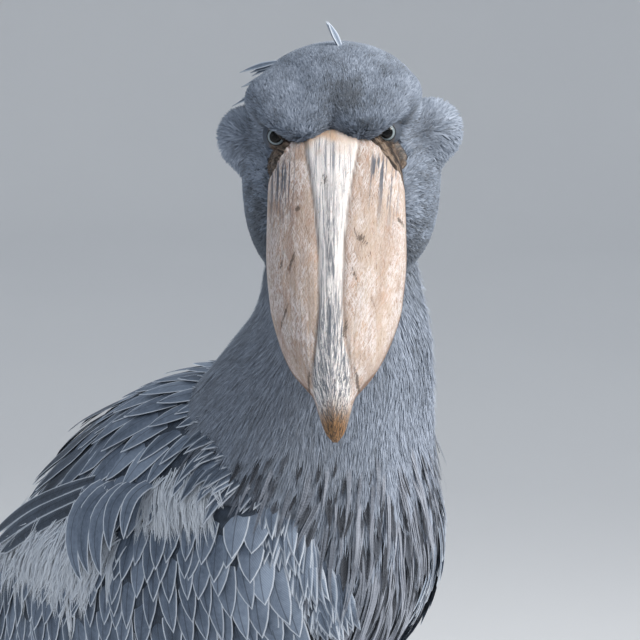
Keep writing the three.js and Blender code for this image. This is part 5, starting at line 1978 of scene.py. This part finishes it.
    def nostrils(self) -> None:
        """The dark slits beside the ridge."""
        b = self.b
        for side in Side:
            def slit(share: Array, turn: Array) -> Array:
                """A slim bean lying in the groove."""
                ring = np.sin(share * math.pi)
                x = side.value * (16.6 + 1.2 * np.cos(share * math.pi)) + 0.7 * ring * np.cos(turn)
                return b.head.posed(rows_of(x, -63 + 5.5 * np.cos(share * math.pi), 23.0 + 0.8 * ring * np.sin(turn)))

            piece = warped_ball(f"nostril_{side.word}", b.shift, 16, 12, slit, lambda s, a: rows_of(s, a, s))
            finish_piece(piece, b.claw, "bill")


class Eye:
    """An eye and its lids."""

    def __init__(self, builder: Builder, side: Side) -> None:
        """Keeps what it builds with."""
        self.b, self.side = builder, side
        head = builder.head
        flip = side.flip
        self.centre = np.array(head.eye, float) * flip + (-1.5 - 1.5 * side.value, -3, -0.5)
        self.front = unit(np.array(head.gaze, float) * flip)
        up = np.array([-0.8 * side.value, 0.1, 1.0])
        self.up = unit(up - self.front * (up @ self.front))
        self.aside = np.cross(self.up, self.front)
        self.radius = head.eye_radius

    def height(self, spots: Array) -> Array:
        """How far up the eye points of the row's frame lie, from -1 to 1."""
        local = self.b.head.local(spots / MM - self.b.shift) - self.centre
        return local @ self.up / self.radius

    def bulge(self, polar: Array) -> Array:
        """How far the cornea stands out at an angle from the gaze."""
        return 0.9 * smooth(0.85, 0.2, polar)

    def ball(self, polar: Array, turn: Array, radius: Array) -> Array:
        """Points round the eye's middle, at an angle from its gaze."""
        flat = self.aside * np.cos(turn)[:, None] + self.up * np.sin(turn)[:, None]
        way = self.front * np.cos(polar)[:, None] + flat * np.sin(polar)[:, None]
        return self.b.head.posed(self.centre + way * np.asarray(radius)[:, None])

    def build(self, finish: bpy.types.Material) -> None:
        """Builds and dresses the eye and the lids."""
        b = self.b
        word = self.side.word

        def globe(share: Array, turn: Array) -> Array:
            """The eyeball with the cornea's bulge."""
            polar = share * math.pi
            return self.ball(polar, turn, self.radius + self.bulge(polar))

        piece = warped_ball(f"eyeball_{word}", b.shift, 64, 64, globe, lambda s, a: rows_of(s * 180, a, 0))
        finish_piece(piece, finish, "eye", f"eye_{word}")
        form = bmesh.new()
        bmesh.ops.create_grid(form, x_segments=96, y_segments=14, size=1)
        p = np.array([v.co[:] for v in form.verts])
        turn, share = p[:, 0] * math.pi, (p[:, 1] + 1) / 2
        upper = np.clip(np.sin(turn), 0, 1)
        gape = np.radians(np.minimum(41, 11 / np.maximum(upper, 0.01)))
        polar = gape + share * (math.radians(112) - gape)
        rim = np.sin(np.clip(share / 0.3, 0, 1) * math.pi * 0.5)
        folds = 0.35 * np.sin(share * 26 + 1.5 * np.sin(turn * 2)) * smooth(0.1, 0.3, share)
        swell = (0.6 + 0.2 * upper) * rim + folds - 1.2 * smooth(0.7, 1, share)
        radius = self.radius + 0.25 + self.bulge(polar) + swell
        spots = self.ball(polar, turn, radius)
        for vertex, spot in zip(form.verts, (spots + b.shift) * MM):
            vertex.co = spot
        bmesh.ops.remove_doubles(form, verts=form.verts, dist=0.00002)
        bmesh.ops.recalc_face_normals(form, faces=form.faces)
        mesh = mesh_of(f"lids_{word}", form)
        way = np.array(mesh.polygons[0].center) - (b.head.posed(self.centre[None])[0] + b.shift) * MM
        if np.dot(way, np.array(mesh.polygons[0].normal)) < 0:
            mesh.flip_normals()
        spots = np.array([v.co[:] for v in mesh.vertices])
        outer = (b.head.local(spots / MM - b.shift) - self.centre)[:, 0] * self.side.value / self.radius
        # Painted shadow: the lids darken towards their top, where the brow shades them, fading on the eye's outer
        # side.
        shade = 1 - 0.85 * smooth(-0.1, 0.4, self.height(spots))
        lid_shadow = (1 - shade) * smooth(1, 0.5, outer)
        marked(mesh, tint=rows_of(0.4 + 0.6 * smooth(0.2, 0.7, outer), smooth(0.75, 0.35, outer), lid_shadow))
        finish_piece(linked(f"lids_{word}", mesh), b.hide, "eye")


class Leg:
    """A long scaled shank, its ankle, and four toes with claws."""

    def __init__(self, builder: Builder, side: Side) -> None:
        """Keeps what it builds with."""
        self.b, self.side = builder, side
        path = ((61, 19, 380), (62, 27, 290), (62, 26, 252), (62, 17, 205), (62, -6, 70), (62, -14, 18))
        self.shank = Limb(path, Curve([(0, 10), (0.2, 11), (0.34, 16.5), (0.45, 12), (0.75, 10), (0.93, 12),
                                       (1, 14)]), steps=60)
        self.foot = np.array([62, -14, 0.0])
        self.toes = {"middle": (0, 162, 8.5), "inner": (-29, 124, 7.5), "outer": (31, 136, 7.5),
                     "hind": (168, 84, 7.5)}
        self.toe_out = 7.0
        self.claw_from = 0.84

    def toe(self, turn_deg: float, length: float, root: float, share: Array, turn: Array) -> Array:
        """Points on a toe at shares of its length."""
        bearing = math.radians(turn_deg + self.toe_out)
        heading = np.array([math.sin(bearing), -math.cos(bearing), 0])
        across = np.array([-heading[1], heading[0], 0])
        stops = [(0, root), (0.2, root * 0.86), (0.4, root * 0.92), (0.62, root * 0.7), (0.8, root * 0.72),
                 (0.86, root * 0.5), (1, 0.8)]
        r = Curve(stops)(share) * domed(share, 0.03)
        lift = np.where(share > 0.86, (share - 0.86) * 22 * (1 - share) * 7, 0)
        high = np.maximum(Curve(stops)(share) * 0.82 + np.sin(turn) * r + lift, 0)
        spot = self.foot + heading * (6 + share * length)[:, None] + across * (np.cos(turn) * r)[:, None]
        spot[:, 2] = high
        return spot * self.side.flip

    def build(self) -> None:
        """Builds and dresses the leg."""
        b = self.b
        word = self.side.word
        flip = self.side.flip

        def shank(share: Array, turn: Array) -> Array:
            """The shank with its knuckled ankle, ending in the foot."""
            return tube_points(self.shank, share, turn) * flip

        piece = warped_ball(f"leg_{word}", b.shift, 160, 48, shank, lambda s, a: rows_of(s * 400, a * 12, 0))
        finish_piece(piece, b.scutes, "leg", f"shank_{word}")

        def pad(share: Array, turn: Array) -> Array:
            """The pad where the toes meet."""
            ring = np.sin(share * math.pi)
            spot = rows_of(17 * ring * np.cos(turn), 19 * ring * np.sin(turn), 15 * np.cos(share * math.pi))
            spot = spot + self.foot + np.array([0, 2, 12.0])
            spot[:, 2] = np.maximum(spot[:, 2], 0)
            return spot * flip

        piece = warped_ball(f"foot_{word}", b.shift, 40, 40, pad, lambda s, a: rows_of(s * 47, a * 15, 0))
        finish_piece(piece, b.scutes, "leg")
        for name, (turn_deg, length, root) in self.toes.items():
            toe = partial(self.toe, turn_deg, length, root)
            piece = warped_ball(f"toe_{name}_{word}_skin", b.shift, 90, 28,
                                lambda s, a: toe(s * (self.claw_from + 0.02), a),
                                lambda s, a: rows_of(s * length, a * 7, 0))
            finish_piece(piece, b.scutes, "leg", f"toe_{name}_{word}")
            piece = warped_ball(f"claw_{name}_{word}", b.shift, 30, 20,
                                lambda s, a: toe(self.claw_from - 0.03 + s * (1.03 - self.claw_from), a),
                                lambda s, a: rows_of(s * 24, a * 4, 0))
            finish_piece(piece, b.claw, "leg")


@dataclass(frozen=True)
class Studio:
    """Pale paper, soft lights and a long lens at the photograph's viewing angle."""

    pitch: float = 9.0
    focal_px: float = 2345.0
    distance: float = 1750.0
    right: tuple[float, float] = (0.731, -0.682)
    aim: tuple[float, float, float] = (84.0, -150.0, 934.0)
    key_watts: float = 76.0
    fill_watts: float = 3.0
    rim_watts: float = 12.0
    sky: float = 0.78

    def directions(self) -> tuple[Array, Array, Array]:
        """The camera's right, up and forward directions."""
        e = math.radians(self.pitch)
        right = np.array([*self.right, 0.0])
        away = np.array([-self.right[1], self.right[0], 0.0])
        forward = away * math.cos(e) - np.array([0, 0, math.sin(e)])
        return right, away * math.sin(e) + np.array([0, 0, math.cos(e)]), forward

    def camera(self, shift: Array) -> None:
        """Places the camera."""
        right, up, forward = self.directions()
        away = np.array([-self.right[1], self.right[0], 0.0])
        target = right * self.aim[0] + away * self.aim[1] + np.array([0, 0, self.aim[2]])
        data = bpy.data.cameras.new("camera")
        data.sensor_width = 36.0
        data.lens = self.focal_px / 640 * 36.0
        data.clip_start = 0.05
        camera = bpy.data.objects.new("camera", data)
        spot = (target - forward * self.distance + shift) * MM
        turn = Matrix((right, up, -forward)).transposed().to_4x4()
        camera.matrix_world = Matrix.Translation(spot) @ turn
        bpy.context.scene.collection.objects.link(camera)
        bpy.context.scene.camera = camera

    def light(self, name: str, spot: Array, size: float, watts: float, colour: str, target: Array) -> None:
        """Places one soft light.

        Args:
            name: its name.
            spot: its place in metres.
            size: its side in metres.
            watts: its power.
            colour: its colour.
            target: what it looks at.
        """
        data = bpy.data.lights.new(name, "AREA")
        data.shape, data.size, data.energy, data.color = "DISK", size, watts, linear(colour)[:3]
        lamp = bpy.data.objects.new(name, data)
        way = Vector(target - spot).to_track_quat("-Z", "Y")
        lamp.matrix_world = Matrix.Translation(spot) @ way.to_matrix().to_4x4()
        bpy.context.scene.collection.objects.link(lamp)

    def build(self, shift: Array) -> None:
        """Sets the stage, the lights and the camera."""
        self.camera(shift)
        form = bmesh.new()
        profile = [(0.0, 0.0), (8.0, 0.0)]
        profile += [(8.0 + 3.0 * math.sin(a), 3.0 - 3.0 * math.cos(a)) for a in np.linspace(0.1, math.pi / 2, 14)]
        profile += [(11.0, 9.0)]
        points = [form.verts.new((x, 0, z)) for x, z in profile]
        edges = [form.edges.new(pair) for pair in zip(points[:-1], points[1:])]
        bmesh.ops.spin(form, geom=points + edges, axis=(0, 0, 1), cent=(0, 0, 0), steps=64, angle=2 * math.pi,
                       use_merge=True)
        bmesh.ops.remove_doubles(form, verts=form.verts, dist=0.0001)
        bmesh.ops.recalc_face_normals(form, faces=form.faces)
        mesh = mesh_of("backdrop", form)
        if mesh.polygons[0].normal.z < 0:
            mesh.flip_normals()
        floor = linked("backdrop", mesh)
        floor.data.materials.append(StudioPaper().make())
        right, up, forward = self.directions()
        flat = np.array([forward[0], forward[1], 0])
        target = np.array([0, -0.15, 0.9])
        lamps = (("key", right * 1.9 - flat * 1.2 + np.array([0, 0, 2.3]), 1.5, self.key_watts, "#fffaf4"),
                 ("fill", -right * 1.9 - flat * 1.0 + np.array([0, 0, 1.2]), 1.8, self.fill_watts, "#eef3ff"),
                 ("rim", right * 0.6 + flat * 1.7 + np.array([0, 0, 2.2]), 1.2, self.rim_watts, "#ffffff"))
        for name, spot, size, watts, colour in lamps:
            self.light(name, spot, size, watts, colour, target)
        world = bpy.data.worlds.new("studio_air")
        world.use_nodes = True
        world.node_tree.nodes["Background"].inputs["Color"].default_value = linear("#dfe5ec")
        world.node_tree.nodes["Background"].inputs["Strength"].default_value = self.sky
        bpy.context.scene.world = world
        bpy.context.scene.view_settings.view_transform = "Standard"


def main() -> None:
    """Builds the bird piece by piece, then sets the studio."""
    logging.basicConfig(level=logging.INFO, format="%(message)s")
    builder = Builder()
    Studio().build(builder.shift)
    skin = Skin(builder)
    skin.build()
    HeadCoat(builder, skin).build()
    Crest(builder).build()
    NeckCoat(builder, skin).build()
    BellyCoat(builder, skin).build()
    Mantle(builder).build()
    Down(builder).build()
    Tail(builder).build()
    Bill(builder).build()
    glass = EyeGlass().make()
    for side in Side:
        Wing(builder, side).build()
        Eye(builder, side).build(glass)
        Leg(builder, side).build()
    bpy.context.view_layer.update()


if __name__ == "__main__":
    main()
